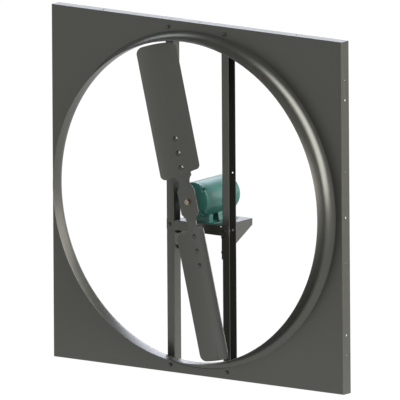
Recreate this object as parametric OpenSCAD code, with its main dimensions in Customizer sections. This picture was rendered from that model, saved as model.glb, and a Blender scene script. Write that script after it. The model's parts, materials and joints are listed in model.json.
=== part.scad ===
// Belt-free exhaust fan: a square wall panel with a round orifice, two uprights behind it,
// and a motor on a folded shelf that carries a two-blade propeller on its own shaft.
// Millimetres. X runs across the panel, Y from the inlet side to the motor side, Z up.
// Places below are given from the fan axis and the panel's front face; place() lowers
// them onto the floor, with the origin at the middle of the bottom of the whole fan.

/* [Panel] */
// How far the square panel reaches past the throat on each side
panel_margin = 67.3; // [66:0.1:160]
// Thickness of the panel sheet
panel_sheet = 2; // [1.2:0.1:3]
// Depth of the edge flanges that turn back from the panel
panel_flange = 54; // [45:1:80]
// Outside radius of the panel's bent edges
panel_bend = 4; // [3.2:0.1:8]
// Radius of the mounting holes in the edge flanges
mount_hole_r = 4.8; // [3:0.1:7]
// Radius of the small pilot holes in the side flanges
pilot_hole_r = 2.6; // [1.5:0.1:4]
// Distance of the flange holes behind the panel's front face
mount_hole_y = 27; // [20:1:34]
// Distance from the axis to the outer mounting holes of each flange
mount_hole_reach = 508; // [400:1:640]

/* [Orifice ring] */
// Inside radius of the throat that the blade tips pass
throat_r = 694.7; // [600:0.1:800]
// Thickness of the ring sheet
ring_sheet = 2; // [1.2:0.1:3]
// How far the throat stands forward of the panel
ring_reach = 88; // [70:1:110]
// Rounding of the bell mouth between the throat and the rim
bell_mouth_r = 44; // [34:1:60]
// How far the bell mouth flares out before it creases into the flat rim
mouth_flare = 31.3; // [25:0.1:33]
// Width of the flat rim behind the panel
rim_width = 27; // [24:0.5:29]

/* [Uprights] */
// Distance from the axis to the inner face of each upright's web
upright_half_gap = 126.5; // [123:0.1:140]
// Width of an upright's flanges
upright_flange = 37.5; // [28:0.5:45]
// Depth of an upright, front to back
upright_depth = 50; // [40:1:60]
// Thickness of the upright sheet
upright_sheet = 2.5; // [1.5:0.1:4]
// Outside radius of the upright's bends
upright_bend = 5; // [4.2:0.1:8]
// Gap between the ends of the uprights and the panel's flanges
upright_end_gap = 1; // [0.3:0.1:5]
// Distance from the axis to the guard holes, up and down
guard_hole_z = 124; // [60:1:300]
// Radius of the guard holes in the rear flanges
guard_hole_r = 4; // [2.5:0.1:5]
// Distance of the flange holes from the outer edge of an upright's flange
flange_hole_inset = 15.3; // [10:0.1:16]

/* [Motor shelf] */
// Thickness of the shelf sheet
shelf_sheet = 3; // [2:0.1:5]
// How far the shelf reaches behind the panel's front face
shelf_reach = 222; // [218:1:300]
// Height of the shelf's front lip
lip_height = 42; // [34:1:50]
// How far the lip laps over each upright, short of its outer edge
lip_end_gap = 0.8; // [0:0.1:4]
// Height of each gusset at its rear end
gusset_rear = 28; // [15:1:50]
// Height of each gusset at the upright
gusset_front = 145; // [142:1:200]
// Radius of the relief holes where the lip and the gussets meet
relief_r = 5; // [3:0.5:6]

/* [Fasteners] */
// Radius of the frame bolts
bolt_r = 4.76; // [2.5:0.01:4.9]
// Hexagon size across flats of the frame bolts and nuts
bolt_flats = 14.3; // [12:0.1:15]
// Height of the frame bolt heads
bolt_head = 6.5; // [3:0.1:8]
// Height of the frame nuts
nut_height = 8.3; // [4:0.1:9]
// How far a shelf bolt sticks out past its nut
bolt_tail = 11; // [2:0.5:16]
// Clearance all round a bolt in its hole
hole_clear = 0.4; // [0.2:0.05:0.8]
// Clearance all round a bolt in its nut
nut_clear = 0.05; // [0.02:0.01:0.1]
// Distance from the axis down to the upper gusset bolts
gusset_bolt_z = 156; // [145:1:158]
// Distance between the gusset bolts
gusset_bolt_pitch = 65; // [35:1:66]

/* [Motor] */
// Radius of the motor shell
motor_r = 78; // [70:0.5:84]
// Thickness of the motor shell
shell_sheet = 3; // [2:0.1:4]
// Distance from the axis down to the shelf top
shaft_height = 102; // [96:0.5:112]
// Front face of the front end bell, behind the panel's front face
bell_front_y = -30; // [-33:0.5:-26]
// Front edge of the motor shell
shell_front_y = 0; // [-4:0.5:8]
// Length of the motor shell
shell_length = 152; // [140:1:165]
// Rear end of the rear end bell behind the shell
rear_bell_length = 66; // [54:1:70]
// Rounding of the rear end bell
rear_bell_round = 25; // [15:1:35]
// Wall of the end bells
bell_wall = 6; // [4:0.5:9]
// Distance from the axis to the through bolts
through_bolt_reach = 69.8; // [69.4:0.1:70.2]
// Radius of the through bolts
through_bolt_r = 2.4; // [1.5:0.1:2.6]
// Radius of the pockets for the through bolt heads
pocket_r = 8; // [6.5:0.1:10]
// Depth of the pockets for the through bolt heads
pocket_depth = 19; // [14:0.5:21]
// Radius of the vent notches in the front end bell's edge
vent_r = 4; // [2:0.5:4.5]
// Depth of the vent notches
vent_depth = 6; // [3:0.5:9]
// Angle between neighbouring vent notches, in degrees
vent_step = 12.5; // [9:0.5:14]
// Length of the stator core
core_length = 80; // [60:1:92]
// Radius of the stator bore
stator_bore_r = 45.4; // [42:0.1:48]
// Gap between the rotor and the stator
air_gap = 0.4; // [0.3:0.05:0.8]
// Number of stator slots
slot_count = 24; // [12:4:36]

/* [Motor base] */
// Half the width of the base plate
base_half_w = 76; // [70:0.5:84]
// Front edge of the base plate behind the panel's front face
base_front_y = 20; // [12:1:24]
// Length of the base plate
base_length = 170; // [150:1:185]
// Thickness of the base sheet
base_sheet = 3; // [2:0.1:5]
// Half the width of the base pedestal at the shell
pedestal_half_w = 42; // [34:0.5:43]
// Spread of the rear pedestal's legs at the plate
pedestal_spread = 10; // [2:1:11]
// Length of the front pedestal leg
front_leg = 27; // [20:1:34]
// Length of the rear pedestal leg
rear_leg = 60; // [45:1:75]
// Distance between the base bolts across the motor
base_bolt_x = 124; // [122:1:128]
// Distance between the base bolts along the motor
base_bolt_y = 76.2; // [60:0.1:90]

/* [Shaft and bearings] */
// Radius of the shaft at the propeller
shaft_r = 11.11; // [9:0.01:12]
// Radius of the shaft at the bearings
journal_r = 12.5; // [12.2:0.1:14]
// Outside radius of the bearings
bearing_r = 26; // [25:0.5:28]
// Width of the bearings
bearing_w = 15; // [13:1:16]
// Radius of the bearing balls
ball_r = 3.97; // [3:0.01:4.2]
// Number of balls in each bearing
ball_count = 9; // [7:1:10]
// Running clearance of the balls in the races
ball_clear = 0.05; // [0.02:0.01:0.1]

/* [Propeller] */
// Gap between the blade tips and the throat
tip_gap = 8.7; // [6:0.1:60]
// Radius of the blade roots at the bolt line
root_r = 119; // [115:1:124]
// Slant of the blade roots, in degrees
root_skew = 9.7; // [0:0.1:12]
// Width of a blade
blade_chord = 188; // [150:1:200]
// Distance from a blade's front edge to the bolt line
blade_lead = 94; // [86:0.5:100]
// Radius that the blades are curved to across their width
camber_r = 260; // [240:1:600]
// Thickness of a blade
blade_sheet = 2.5; // [1.5:0.1:4]
// Rounding of the corners at the blade roots
root_round = 22; // [10:1:30]
// Rounding of the corners at the blade tips
tip_round = 30; // [10:1:40]
// Twist of the blades away from the plane of the hub plate, in degrees
blade_pitch = 13.8; // [8:0.1:20]
// Lean of the upper blade to the left as the fan stands at rest, in degrees
rest_lean = 13.3; // [0:0.1:90]
// Thickness of the hub plate and its arms
spider_sheet = 5; // [3:0.5:6]
// Width of the hub plate
hub_plate_w = 93; // [80:1:110]
// Length of the hub plate
hub_plate_l = 112; // [104:1:116]
// Width of the arms at the necks
neck_w = 52; // [45:1:64]
// Width of the arms behind the blades
arm_w = 80; // [68:1:90]
// Radius at which the arms end
arm_r = 300; // [290:1:340]
// Radius of the innermost blade bolt
blade_bolt_first = 149; // [146:1:152]
// Distance between the blade bolts
blade_bolt_pitch = 62.5; // [50:0.5:66]
// Number of bolts in each blade
blade_bolt_count = 3; // [2:1:3]
// Radius of the domed heads of the blade bolts
blade_bolt_head_r = 11.5; // [8:0.1:12.5]
// Middle of the hub plate's thickness behind the panel's front face
spider_y = -65.5; // [-70:0.5:-62]
// Outside radius of the hub
hub_r = 25; // [20:0.5:30]
// Length of the hub behind the hub plate
hub_length = 26; // [22:0.5:28]
// Radius of the brass rim in front of the hub plate
hub_rim_r = 14.5; // [14:0.1:20]
// How far the brass rim stands in front of the hub plate
hub_rim = 2; // [1:0.5:4]
// How far the shaft stands in front of the brass rim
shaft_nose = 8; // [0.5:0.5:12]
// Running clearance between the shaft and the hub
hub_fit = 0.03; // [0.01:0.01:0.1]
// Width of the key
key_w = 4.76; // [3:0.01:5]
// Radius of the hub's set screw
set_screw_r = 3.5; // [2:0.1:4]

/* [Conduit box] */
// Length of the conduit box along the motor
box_length = 84; // [70:1:110]
// Height of the conduit box
box_height = 62; // [50:1:80]
// Distance from the axis to the outer face of the box
box_reach = 118; // [112:1:122]
// Wall of the conduit box
box_wall = 2.5; // [1.5:0.1:4]
// Thickness of the box cover
cover_sheet = 2; // [1:0.1:3]
// Radius of the conduit entry
entry_r = 11.1; // [8:0.1:11.5]

/* [Hidden] */
$fn = 96;
// Overrun of a cut past the face that it starts from
cut = 1;
panel_size = 2 * (throat_r + panel_margin);
half_size = panel_size / 2;
throat_outer_r = throat_r + ring_sheet;
mouth_r = throat_outer_r + mouth_flare;
rim_front_y = panel_sheet;
rim_back_y = rim_front_y + ring_sheet;
// The bell mouth is tangent to the throat and meets the rim at the crease
bell_centre_r = throat_outer_r + bell_mouth_r;
bell_centre_y = rim_front_y - sqrt(pow(bell_mouth_r, 2) - pow(bell_centre_r - mouth_r, 2));
panel_hole_clear = 0.6;
// Up and down from the axis, as shares of the panel
pilot_holes_z = [-0.39, -0.13, 0.13, 0.39] * panel_size;
panel_hole_r = mouth_r + panel_hole_clear;
ring_lip_round = ring_sheet / 2;

upright_front_y = rim_back_y;
upright_back_y = upright_front_y + upright_depth;
upright_outer_x = upright_half_gap + upright_flange;
upright_half_l = half_size - panel_sheet - upright_end_gap;
flange_hole_x = upright_outer_x - flange_hole_inset;
// The panel bolts sit in the middle of the ring's rim
rim_bolt_r = mouth_r + rim_width * 2 / 3;
rim_bolt_z = sqrt(pow(rim_bolt_r, 2) - pow(flange_hole_x, 2));
frame_hole_r = bolt_r + hole_clear;
// How far the panel and base bolts stick out past their nuts
short_tail = 3;

shelf_top_z = -shaft_height;
lip_front_y = upright_front_y - shelf_sheet;
lip_half_w = upright_outer_x - lip_end_gap;
gusset_inner_x = upright_half_gap - shelf_sheet;
lip_bolt_z = shelf_top_z - lip_height / 2;
relief_x = gusset_inner_x - relief_r / 2;
gusset_bolt_y = upright_front_y + upright_depth / 2;
gusset_bolts_z = [-gusset_bolt_z, -gusset_bolt_z - gusset_bolt_pitch];

shell_back_y = shell_front_y + shell_length;
motor_back_y = shell_back_y + rear_bell_length;
shell_inner_r = motor_r - shell_sheet;
spigot = 5;
spigot_clear = 0.1;
spigot_r = shell_inner_r - spigot_clear;
core_front_y = shell_front_y + (shell_length - core_length) / 2;
core_back_y = core_front_y + core_length;
core_clear = 0.1;
core_r = shell_inner_r - core_clear;
notch_r = through_bolt_r + 1;
slot_floor_r = through_bolt_reach - notch_r - 3;
slot_inner_r = stator_bore_r + 3;
slot_share = 0.55;
slot_w = 2 * PI * slot_inner_r / slot_count * slot_share;
slot_clear = 0.2;
winding_length = 22;
winding_r = slot_floor_r - slot_clear;
rotor_r = stator_bore_r - air_gap;
bell_boss_r = bearing_r + 6;
bell_inner_r = spigot_r - bell_wall;
bell_edge = 4.5;
bell_lug = 18;
lug_step = 1;
lug_reach = spigot_r - bell_wall / 3;
front_bearing_y = bell_front_y + bell_wall + 1;
rear_bearing_y = motor_back_y - bell_wall - bearing_w - 2;
shaft_back_y = motor_back_y - bell_wall - 1;
shaft_end_gap = 0.5;
shaft_collar_r = journal_r + 2.5;
race_mid_r = (journal_r + bearing_r) / 2;
race_gap = ball_r - 1.8;
race_fit = 0.02;
groove_r = ball_r + ball_clear;
pocket_y = bell_front_y + pocket_depth;
pocket_wall = 3;
pocket_slot_w = 1.8 * pocket_r;
through_bolt_head = 4;
through_bolt_grip = 14;
through_bolt_flats = 9;
through_bolt_seat = 0.2;
bell_hole_r = journal_r + 0.5;
vent_reach = motor_r - 1;
// Six notches above the axis and six below it
vent_angles = [for (half_turn = [0, 180]) for (i = [-2.5:1:2.5]) half_turn + i * vent_step];

tip_r = throat_r - tip_gap;
blade_trail = blade_chord - blade_lead;
// Places of the curve's axis and of the corner roundings, in the blade's own frame
camber_y = -spider_sheet / 2 - camber_r;
function root_centre(x) = [x, root_r + x * tan(root_skew) + root_round / cos(root_skew)];
function tip_centre(x) = [x, sqrt(pow(tip_r - tip_round, 2) - x * x)];
corner_steps = 8;
tip_steps = 32;
// Points round p from angle a to angle b in n steps, without the first and last "skip" of them
function arc(p, r, a, b, n, skip) = [for (i = [skip:n - skip])
    p + r * [cos(a + (b - a) * i / n), sin(a + (b - a) * i / n)]];
hub_back_y = spider_y + spider_sheet / 2 + hub_length;
hub_front_y = spider_y - spider_sheet / 2;
hub_seat_r = hub_r + 0.5;
key_front = 3;
shaft_front_y = hub_front_y - hub_rim - shaft_nose;
hub_bore_r = shaft_r + hub_fit;
blade_front = spider_sheet / 2 + blade_sheet;
blade_bolt_r = 3.97;
blade_nut_flats = 12.7;
blade_nut_height = 6.7;
blade_bolt_dome = 6;
// Small clearances that keep flat faces off curved ones
pad_fit = 0.05;
head_fit = 0.35;
blade_head_y = -blade_front - head_fit;
blade_bolt_end = spider_sheet / 2 + blade_nut_height + 1.5;
blade_bolts = [for (i = [0:blade_bolt_count - 1]) blade_bolt_first + i * blade_bolt_pitch];
arm_start_r = hub_plate_l / 2 - 6;
neck_end_r = root_r - 4;
neck_mid_r = (hub_plate_l / 2 + neck_end_r) / 2;
neck_arc_r = (neck_end_r - hub_plate_l / 2) / 2;
neck_steps = 4;
neck_step = (neck_end_r - arm_start_r) / neck_steps;
arm_round = 12;
hub_corner = 8;
// How far the blades' front edges stand in front of the hub plate's middle
edge_drop = camber_y + sqrt(pow(camber_r - blade_sheet, 2) - pow(blade_lead, 2));
blade_reach_y = blade_lead * sin(blade_pitch) - edge_drop * cos(blade_pitch);

box_mid_y = (shell_front_y + shell_back_y) / 2;
box_in_x = motor_r - shell_sheet / 2;
cover_x = box_reach - cover_sheet;
box_half_l = box_length / 2;
box_half_h = box_height / 2;
boss_r = 5.5;
box_screw_r = 2;
box_screw_inset = 7.5;
box_screw_head_r = 3.8;
box_screw_head = 2;
box_screw_gap = 0.3;
entry_x = -(box_reach - cover_sheet + motor_r) / 2 + 1;

base_top_z = shelf_top_z + base_sheet;
saddle_top_z = -motor_r + 35;
base_mid_y = base_front_y + base_length / 2;
front_leg_y = base_front_y + 8;
rear_leg_y = front_leg_y + front_leg + 30;
base_bolts = [for (sx = [-1, 1]) for (sy = [-1, 1])
    [sx * base_bolt_x / 2, base_mid_y + sy * base_bolt_y / 2]];

// Nearest and furthest points of the whole fan along Y
fan_front_y = min(-ring_reach, spider_y - blade_reach_y);
fan_back_y = max(shelf_reach, motor_back_y);
shift_y = -(fan_front_y + fan_back_y) / 2;

// From the fan axis and the panel's face to the floor under the fan
module place() {
    translate([0, shift_y, half_size]) children();
}

// The propeller's own frame: Z runs along the upper blade
module rotor_place() {
    place() rotate([0, -rest_lean, 0]) children();
}

// A drawing in X and Z, as thick as y0 to y1
module slab_y(y0, y1) {
    rotate([90, 0, 0]) translate([0, 0, -y1]) linear_extrude(y1 - y0) children();
}

// A drawing in Y and Z, as thick as x0 to x1
module slab_x(x0, x1) {
    translate([x0, 0, 0]) rotate([90, 0, 90]) linear_extrude(x1 - x0) children();
}

// A profile of radius and Y, turned round the fan axis
module turned() {
    rotate([-90, 0, 0]) rotate_extrude() children();
}

module rod_y(r, y0, y1) {
    translate([0, y0, 0]) rotate([-90, 0, 0]) cylinder(r = r, h = y1 - y0);
}

module rod_x(r, x0, x1) {
    translate([x0, 0, 0]) rotate([0, 90, 0]) cylinder(r = r, h = x1 - x0);
}

module rod_z(r, z0, z1) {
    translate([0, 0, z0]) cylinder(r = r, h = z1 - z0);
}

module hexagon(flats, h) {
    cylinder(r = flats / 2 / cos(30), h = h, $fn = 6);
}

// A hexagon bolt along +Z, its head below zero
module hex_bolt(r, flats, head, length) {
    translate([0, 0, -head]) hexagon(flats, head);
    cylinder(r = r, h = length);
}

// A hexagon nut from zero up, bored for a bolt of radius r
module hex_nut(r, flats, h) {
    difference() {
        hexagon(flats, h);
        translate([0, 0, -cut]) cylinder(r = r + nut_clear, h = h + 2 * cut);
    }
}

// A rectangle with its four corners rounded
module rounded_rect(w, h, r) {
    square([w - 2 * r, h], center = true);
    square([w, h - 2 * r], center = true);
    for (sx = [-1, 1]) for (sy = [-1, 1])
        translate([sx * (w / 2 - r), sy * (h / 2 - r)]) circle(r = r);
}

// The section of a tray: y0 to y1 deep, its two corners at y0 rounded
module tray_section(half_w, y0, y1, r) {
    translate([-half_w, y0 + r]) square([2 * half_w, y1 - y0 - r]);
    translate([-half_w + r, y0]) square([2 * (half_w - r), y1 - y0]);
    for (s = [-1, 1]) translate([s * (half_w - r), y0 + r]) circle(r = r);
}

// A square block with rounded front edges, y0 to y1 deep
module tray_block(half_w, y0, y1, r) {
    intersection() {
        translate([0, 0, -half_w]) linear_extrude(2 * half_w) tray_section(half_w, y0, y1, r);
        rotate([0, 90, 0]) translate([0, 0, -half_w])
            linear_extrude(2 * half_w) tray_section(half_w, y0, y1, r);
    }
}

// Every mounting hole in a pair of facing flanges, along X
module side_flange_holes() {
    for (z = [-mount_hole_reach, 0, mount_hole_reach])
        translate([0, mount_hole_y, z]) rod_x(mount_hole_r, -half_size - cut, half_size + cut);
    for (z = pilot_holes_z)
        translate([0, mount_hole_y, z]) rod_x(pilot_hole_r, -half_size - cut, half_size + cut);
}

module top_flange_holes() {
    for (x = [-mount_hole_reach, 0, mount_hole_reach])
        translate([x, mount_hole_y, 0]) rod_z(mount_hole_r, -half_size - cut, half_size + cut);
}

// The four holes where the uprights bolt to the panel and the ring
module panel_bolt_places() {
    for (sx = [-1, 1]) for (sz = [-1, 1])
        translate([sx * flange_hole_x, 0, sz * rim_bolt_z]) children();
}

module fan_panel() {
    color("#4e4e48") place() difference() {
        tray_block(half_size, 0, panel_flange, panel_bend);
        tray_block(half_size - panel_sheet, panel_sheet, panel_flange + cut,
            panel_bend - panel_sheet);
        rod_y(panel_hole_r, -cut, panel_sheet + cut);
        side_flange_holes();
        top_flange_holes();
        panel_bolt_places() rod_y(frame_hole_r, -cut, panel_sheet + cut);
    }
}

// The ring's section: throat, bell mouth and flat rim, one sheet thick
module ring_section() {
    translate([throat_r, -ring_reach + ring_lip_round])
        square([ring_sheet, ring_reach - ring_lip_round + bell_centre_y]);
    translate([throat_r + ring_sheet / 2, -ring_reach + ring_lip_round]) circle(r = ring_lip_round);
    translate([mouth_r, rim_front_y]) square([rim_width, ring_sheet]);
    intersection() {
        translate([bell_centre_r, bell_centre_y]) difference() {
            circle(r = bell_mouth_r + ring_sheet);
            circle(r = bell_mouth_r);
        }
        translate([throat_r - cut, bell_centre_y])
            square([mouth_r - throat_r + cut, rim_back_y - bell_centre_y]);
    }
}

module orifice_ring() {
    color("#55554e") place() difference() {
        turned() ring_section();
        panel_bolt_places() rod_y(frame_hole_r, rim_front_y - cut, rim_back_y + cut);
    }
}

// A quarter of a bent sheet, its outer radius r, its centre at the origin
module bend_quarter(r, t) {
    intersection() {
        difference() {
            circle(r = r);
            circle(r = r - t);
        }
        translate([-r - cut, -r - cut]) square(r + cut);
    }
}

// The section of the right-hand upright in X and Y, open away from the fan axis
module upright_section() {
    b = upright_bend;
    t = upright_sheet;
    translate([upright_half_gap, upright_front_y + b]) square([t, upright_depth - 2 * b]);
    for (s = [0, 1])
        translate([0, s * (upright_back_y + upright_front_y)]) mirror([0, s]) {
            translate([upright_half_gap + b, upright_front_y])
                square([upright_flange - b, t]);
            translate([upright_half_gap + b, upright_front_y + b]) bend_quarter(b, t);
        }
}

module upright(side) {
    color("#4a4a45") place() mirror([side < 0 ? 1 : 0, 0, 0]) difference() {
        translate([0, 0, -upright_half_l]) linear_extrude(2 * upright_half_l) upright_section();
        for (z = [-rim_bolt_z, rim_bolt_z, lip_bolt_z]) translate([flange_hole_x, 0, z])
            rod_y(frame_hole_r, upright_front_y - cut, upright_front_y + upright_sheet + cut);
        for (z = [-guard_hole_z, guard_hole_z]) translate([flange_hole_x, 0, z])
            rod_y(guard_hole_r, upright_back_y - upright_sheet - cut, upright_back_y + cut);
        for (z = gusset_bolts_z) translate([0, gusset_bolt_y, z])
            rod_x(frame_hole_r, upright_half_gap - cut, upright_half_gap + upright_sheet + cut);
    }
}

module upright_left() {
    upright(-1);
}

module upright_right() {
    upright(1);
}

module panel_bolts() {
    color("#5a5a54") place() panel_bolt_places()
        rotate([-90, 0, 0]) hex_bolt(bolt_r, bolt_flats, bolt_head,
            upright_front_y + upright_sheet + nut_height + short_tail);
}

module panel_nuts() {
    color("#5a5a54") place() panel_bolt_places()
        translate([0, upright_front_y + upright_sheet, 0]) rotate([-90, 0, 0])
            hex_nut(bolt_r, bolt_flats, nut_height);
}

// One gusset in Y and Z, from the shelf top down
module gusset_outline() {
    polygon([
        [upright_front_y, shelf_top_z], [shelf_reach, shelf_top_z],
        [shelf_reach, shelf_top_z - gusset_rear], [upright_front_y, shelf_top_z - gusset_front]
    ]);
}

module motor_shelf() {
    color("#62605a") place() difference() {
        union() {
            translate([-upright_half_gap, lip_front_y, shelf_top_z - shelf_sheet])
                cube([2 * upright_half_gap, shelf_reach - lip_front_y, shelf_sheet]);
            translate([-lip_half_w, lip_front_y, shelf_top_z - lip_height])
                cube([2 * lip_half_w, shelf_sheet, lip_height]);
            slab_x(-upright_half_gap, -gusset_inner_x) gusset_outline();
            slab_x(gusset_inner_x, upright_half_gap) gusset_outline();
        }
        for (s = [-1, 1]) {
            translate([s * relief_x, 0, shelf_top_z])
                rod_y(relief_r, lip_front_y - cut, upright_front_y + relief_r);
            translate([s * flange_hole_x, 0, lip_bolt_z])
                rod_y(frame_hole_r, lip_front_y - cut, upright_front_y + cut);
        }
        for (z = gusset_bolts_z) translate([0, gusset_bolt_y, z])
            rod_x(frame_hole_r, -upright_half_gap - cut, upright_half_gap + cut);
        for (p = base_bolts) translate([p[0], p[1], 0])
            rod_z(frame_hole_r, shelf_top_z - shelf_sheet - cut, shelf_top_z + cut);
    }
}

module lip_bolts() {
    color("#5a5a54") place() for (s = [-1, 1])
        translate([s * flange_hole_x, lip_front_y, lip_bolt_z]) rotate([-90, 0, 0])
            hex_bolt(bolt_r, bolt_flats, bolt_head,
                shelf_sheet + upright_sheet + nut_height + bolt_tail);
}

module lip_nuts() {
    color("#5a5a54") place() for (s = [-1, 1])
        translate([s * flange_hole_x, upright_front_y + upright_sheet, lip_bolt_z])
            rotate([-90, 0, 0]) hex_nut(bolt_r, bolt_flats, nut_height);
}

// Each gusset bolt starts at the upright's web and points to the fan axis
module gusset_bolt_places() {
    for (s = [-1, 1]) for (z = gusset_bolts_z)
        translate([s * (upright_half_gap + upright_sheet), gusset_bolt_y, z])
            rotate([0, -s * 90, 0]) children();
}

module gusset_bolts() {
    color("#5a5a54") place() gusset_bolt_places()
        hex_bolt(bolt_r, bolt_flats, bolt_head,
            upright_sheet + shelf_sheet + nut_height + bolt_tail);
}

module gusset_nuts() {
    color("#5a5a54") place() gusset_bolt_places()
        translate([0, 0, upright_sheet + shelf_sheet])
            hex_nut(bolt_r, bolt_flats, nut_height);
}

// The pedestal's outline in X and Z, up to the motor's axis
module pedestal_outline(inset, spread) {
    w = pedestal_half_w - inset;
    foot = w + spread;
    polygon([[-foot, base_top_z - inset], [foot, base_top_z - inset], [w, saddle_top_z], [-w, saddle_top_z]]);
}

// One saddle of bent sheet that holds the shell: a front wall and two side walls
module saddle(y0, length, spread) {
    difference() {
        slab_y(y0, y0 + length) pedestal_outline(0, spread);
        slab_y(y0 + base_sheet, y0 + length + cut) pedestal_outline(base_sheet, spread);
        rod_y(motor_r, y0 - cut, y0 + length + cut);
    }
}

module motor_base() {
    color("#35705f") place() difference() {
        union() {
            translate([-base_half_w, base_front_y, shelf_top_z])
                cube([2 * base_half_w, base_length, base_sheet]);
            saddle(front_leg_y, front_leg, 0);
            saddle(rear_leg_y, rear_leg, pedestal_spread);
        }
        for (p = base_bolts) translate([p[0], p[1], 0])
            rod_z(frame_hole_r, shelf_top_z - cut, base_top_z + cut);
    }
}

module motor_base_bolts() {
    color("#5a5a54") place() for (p = base_bolts)
        translate([p[0], p[1], base_top_z]) rotate([180, 0, 0])
            hex_bolt(bolt_r, bolt_flats, bolt_head, base_sheet + shelf_sheet + nut_height + short_tail);
}

module motor_base_nuts() {
    color("#5a5a54") place() for (p = base_bolts)
        translate([p[0], p[1], shelf_top_z - shelf_sheet]) rotate([180, 0, 0])
            hex_nut(bolt_r, bolt_flats, nut_height);
}

module motor_shell() {
    color("#3c7869") place() difference() {
        rod_y(motor_r, shell_front_y, shell_back_y);
        rod_y(shell_inner_r, shell_front_y - cut, shell_back_y + cut);
        translate([0, box_mid_y, 0]) rod_x(entry_r, -motor_r - cut, 0);
        conduit_screw_places() rod_x(box_screw_r + hole_clear, -motor_r - cut, 0);
    }
}

module through_bolt_places() {
    for (a = [45, 135, 225, 315])
        rotate([0, a, 0]) translate([0, 0, through_bolt_reach]) children();
}

// Solid lugs inside an end bell, round the through bolts
module bell_lugs(y0, y1) {
    through_bolt_places() intersection() {
        rod_y(pocket_r + pocket_wall, y0, y1);
        translate([0, 0, -through_bolt_reach]) rod_y(lug_reach, y0 - cut, y1 + cut);
    }
}

// The front bell's section: face with a rounded edge, rim, spigot and bearing boss
module front_bell_section() {
    difference() {
        union() {
            translate([0, bell_front_y + bell_edge])
                square([motor_r, shell_front_y - bell_front_y - bell_edge]);
            translate([0, bell_front_y]) square([motor_r - bell_edge, shell_front_y - bell_front_y]);
            translate([motor_r - bell_edge, bell_front_y + bell_edge]) circle(r = bell_edge);
            translate([0, shell_front_y - cut]) square([spigot_r, spigot + cut]);
        }
        translate([bell_boss_r, bell_front_y + bell_wall])
            square([bell_inner_r - bell_boss_r, motor_r]);
        translate([0, front_bearing_y + bearing_w]) square([bell_boss_r + cut, motor_r]);
        translate([0, front_bearing_y]) square([bearing_r + race_fit, bearing_w + cut]);
        translate([0, bell_front_y - cut]) square([bell_hole_r, motor_r]);
    }
}

module front_end_bell() {
    color("#2f5f54") place() difference() {
        union() {
            turned() front_bell_section();
            bell_lugs(bell_front_y + bell_wall - cut, shell_front_y + spigot - lug_step);
        }
        through_bolt_places() {
            rod_y(pocket_r, bell_front_y - cut, pocket_y);
            translate([-pocket_slot_w / 2, bell_front_y - cut, 0])
                cube([pocket_slot_w, pocket_depth + cut, motor_r]);
            rod_y(through_bolt_r + nut_clear, pocket_y - cut, shell_front_y + spigot + cut);
        }
        for (a = vent_angles) rotate([0, a, 0]) translate([0, 0, vent_reach])
            rod_y(vent_r, bell_front_y - cut, bell_front_y + vent_depth);
    }
}

// The rear bell's section: spigot, drum, rounded end and bearing boss
module rear_bell_section() {
    inner_round = rear_bell_round - (motor_r - bell_inner_r);
    inner_back_y = motor_back_y - bell_wall;
    difference() {
        union() {
            translate([0, shell_back_y]) square([motor_r, rear_bell_length - rear_bell_round]);
            translate([0, shell_back_y]) square([motor_r - rear_bell_round, rear_bell_length]);
            translate([motor_r - rear_bell_round, motor_back_y - rear_bell_round])
                circle(r = rear_bell_round);
            translate([0, shell_back_y - spigot]) square([spigot_r, spigot + cut]);
        }
        difference() {
            union() {
                translate([0, shell_back_y - spigot - cut])
                    square([bell_inner_r, inner_back_y - inner_round - shell_back_y + spigot + cut]);
                translate([0, shell_back_y])
                    square([bell_inner_r - inner_round, inner_back_y - shell_back_y]);
                translate([bell_inner_r - inner_round, inner_back_y - inner_round])
                    circle(r = inner_round);
            }
            translate([0, rear_bearing_y]) square([bell_boss_r, motor_r]);
        }
        translate([0, rear_bearing_y - cut]) square([bearing_r + race_fit, bearing_w + cut]);
        translate([0, rear_bearing_y]) square([bell_hole_r, shaft_back_y + shaft_end_gap - rear_bearing_y]);
    }
}

// Tapped for the through bolts, so its back stays smooth
module rear_end_bell() {
    color("#3a7666") place() difference() {
        union() {
            turned() rear_bell_section();
            bell_lugs(shell_back_y - spigot + lug_step, shell_back_y + bell_lug);
        }
        through_bolt_places() rod_y(through_bolt_r + nut_clear, shell_back_y - spigot - cut,
            shell_back_y + through_bolt_grip + cut);
    }
}

module through_bolts() {
    color("#3f4f4a") place() through_bolt_places() translate([0, pocket_y - through_bolt_seat, 0])
        rotate([-90, 0, 0]) hex_bolt(through_bolt_r, through_bolt_flats, through_bolt_head,
            shell_back_y + through_bolt_grip + through_bolt_seat - pocket_y);
}

module stator_slots(clear) {
    for (i = [0:slot_count - 1]) rotate([0, (i + 0.5) * 360 / slot_count, 0])
        translate([-slot_w / 2 + clear, core_front_y - cut, slot_inner_r + clear])
            cube([slot_w - 2 * clear, core_length + 2 * cut, slot_floor_r - slot_inner_r - 2 * clear]);
}

module stator_core() {
    color("#4c4c50") place() difference() {
        rod_y(core_r, core_front_y, core_back_y);
        rod_y(stator_bore_r, core_front_y - cut, core_back_y + cut);
        stator_slots(0);
        through_bolt_places() {
            rod_y(notch_r, core_front_y - cut, core_back_y + cut);
            translate([-notch_r, core_front_y - cut, 0])
                cube([2 * notch_r, core_length + 2 * cut, motor_r]);
        }
    }
}

// Copper in the slots, joined by a ring of end turns at each end
module stator_windings() {
    color("#a5673a") place() {
        for (y = [core_front_y - winding_length, core_back_y]) difference() {
            rod_y(winding_r, y, y + winding_length);
            rod_y(slot_inner_r + slot_clear, y - cut, y + winding_length + cut);
        }
        stator_slots(slot_clear);
    }
}

module conduit_screw_places() {
    for (sy = [-1, 1])
        translate([0, box_mid_y + sy * (box_half_l - box_screw_inset), 0]) children();
}

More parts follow.
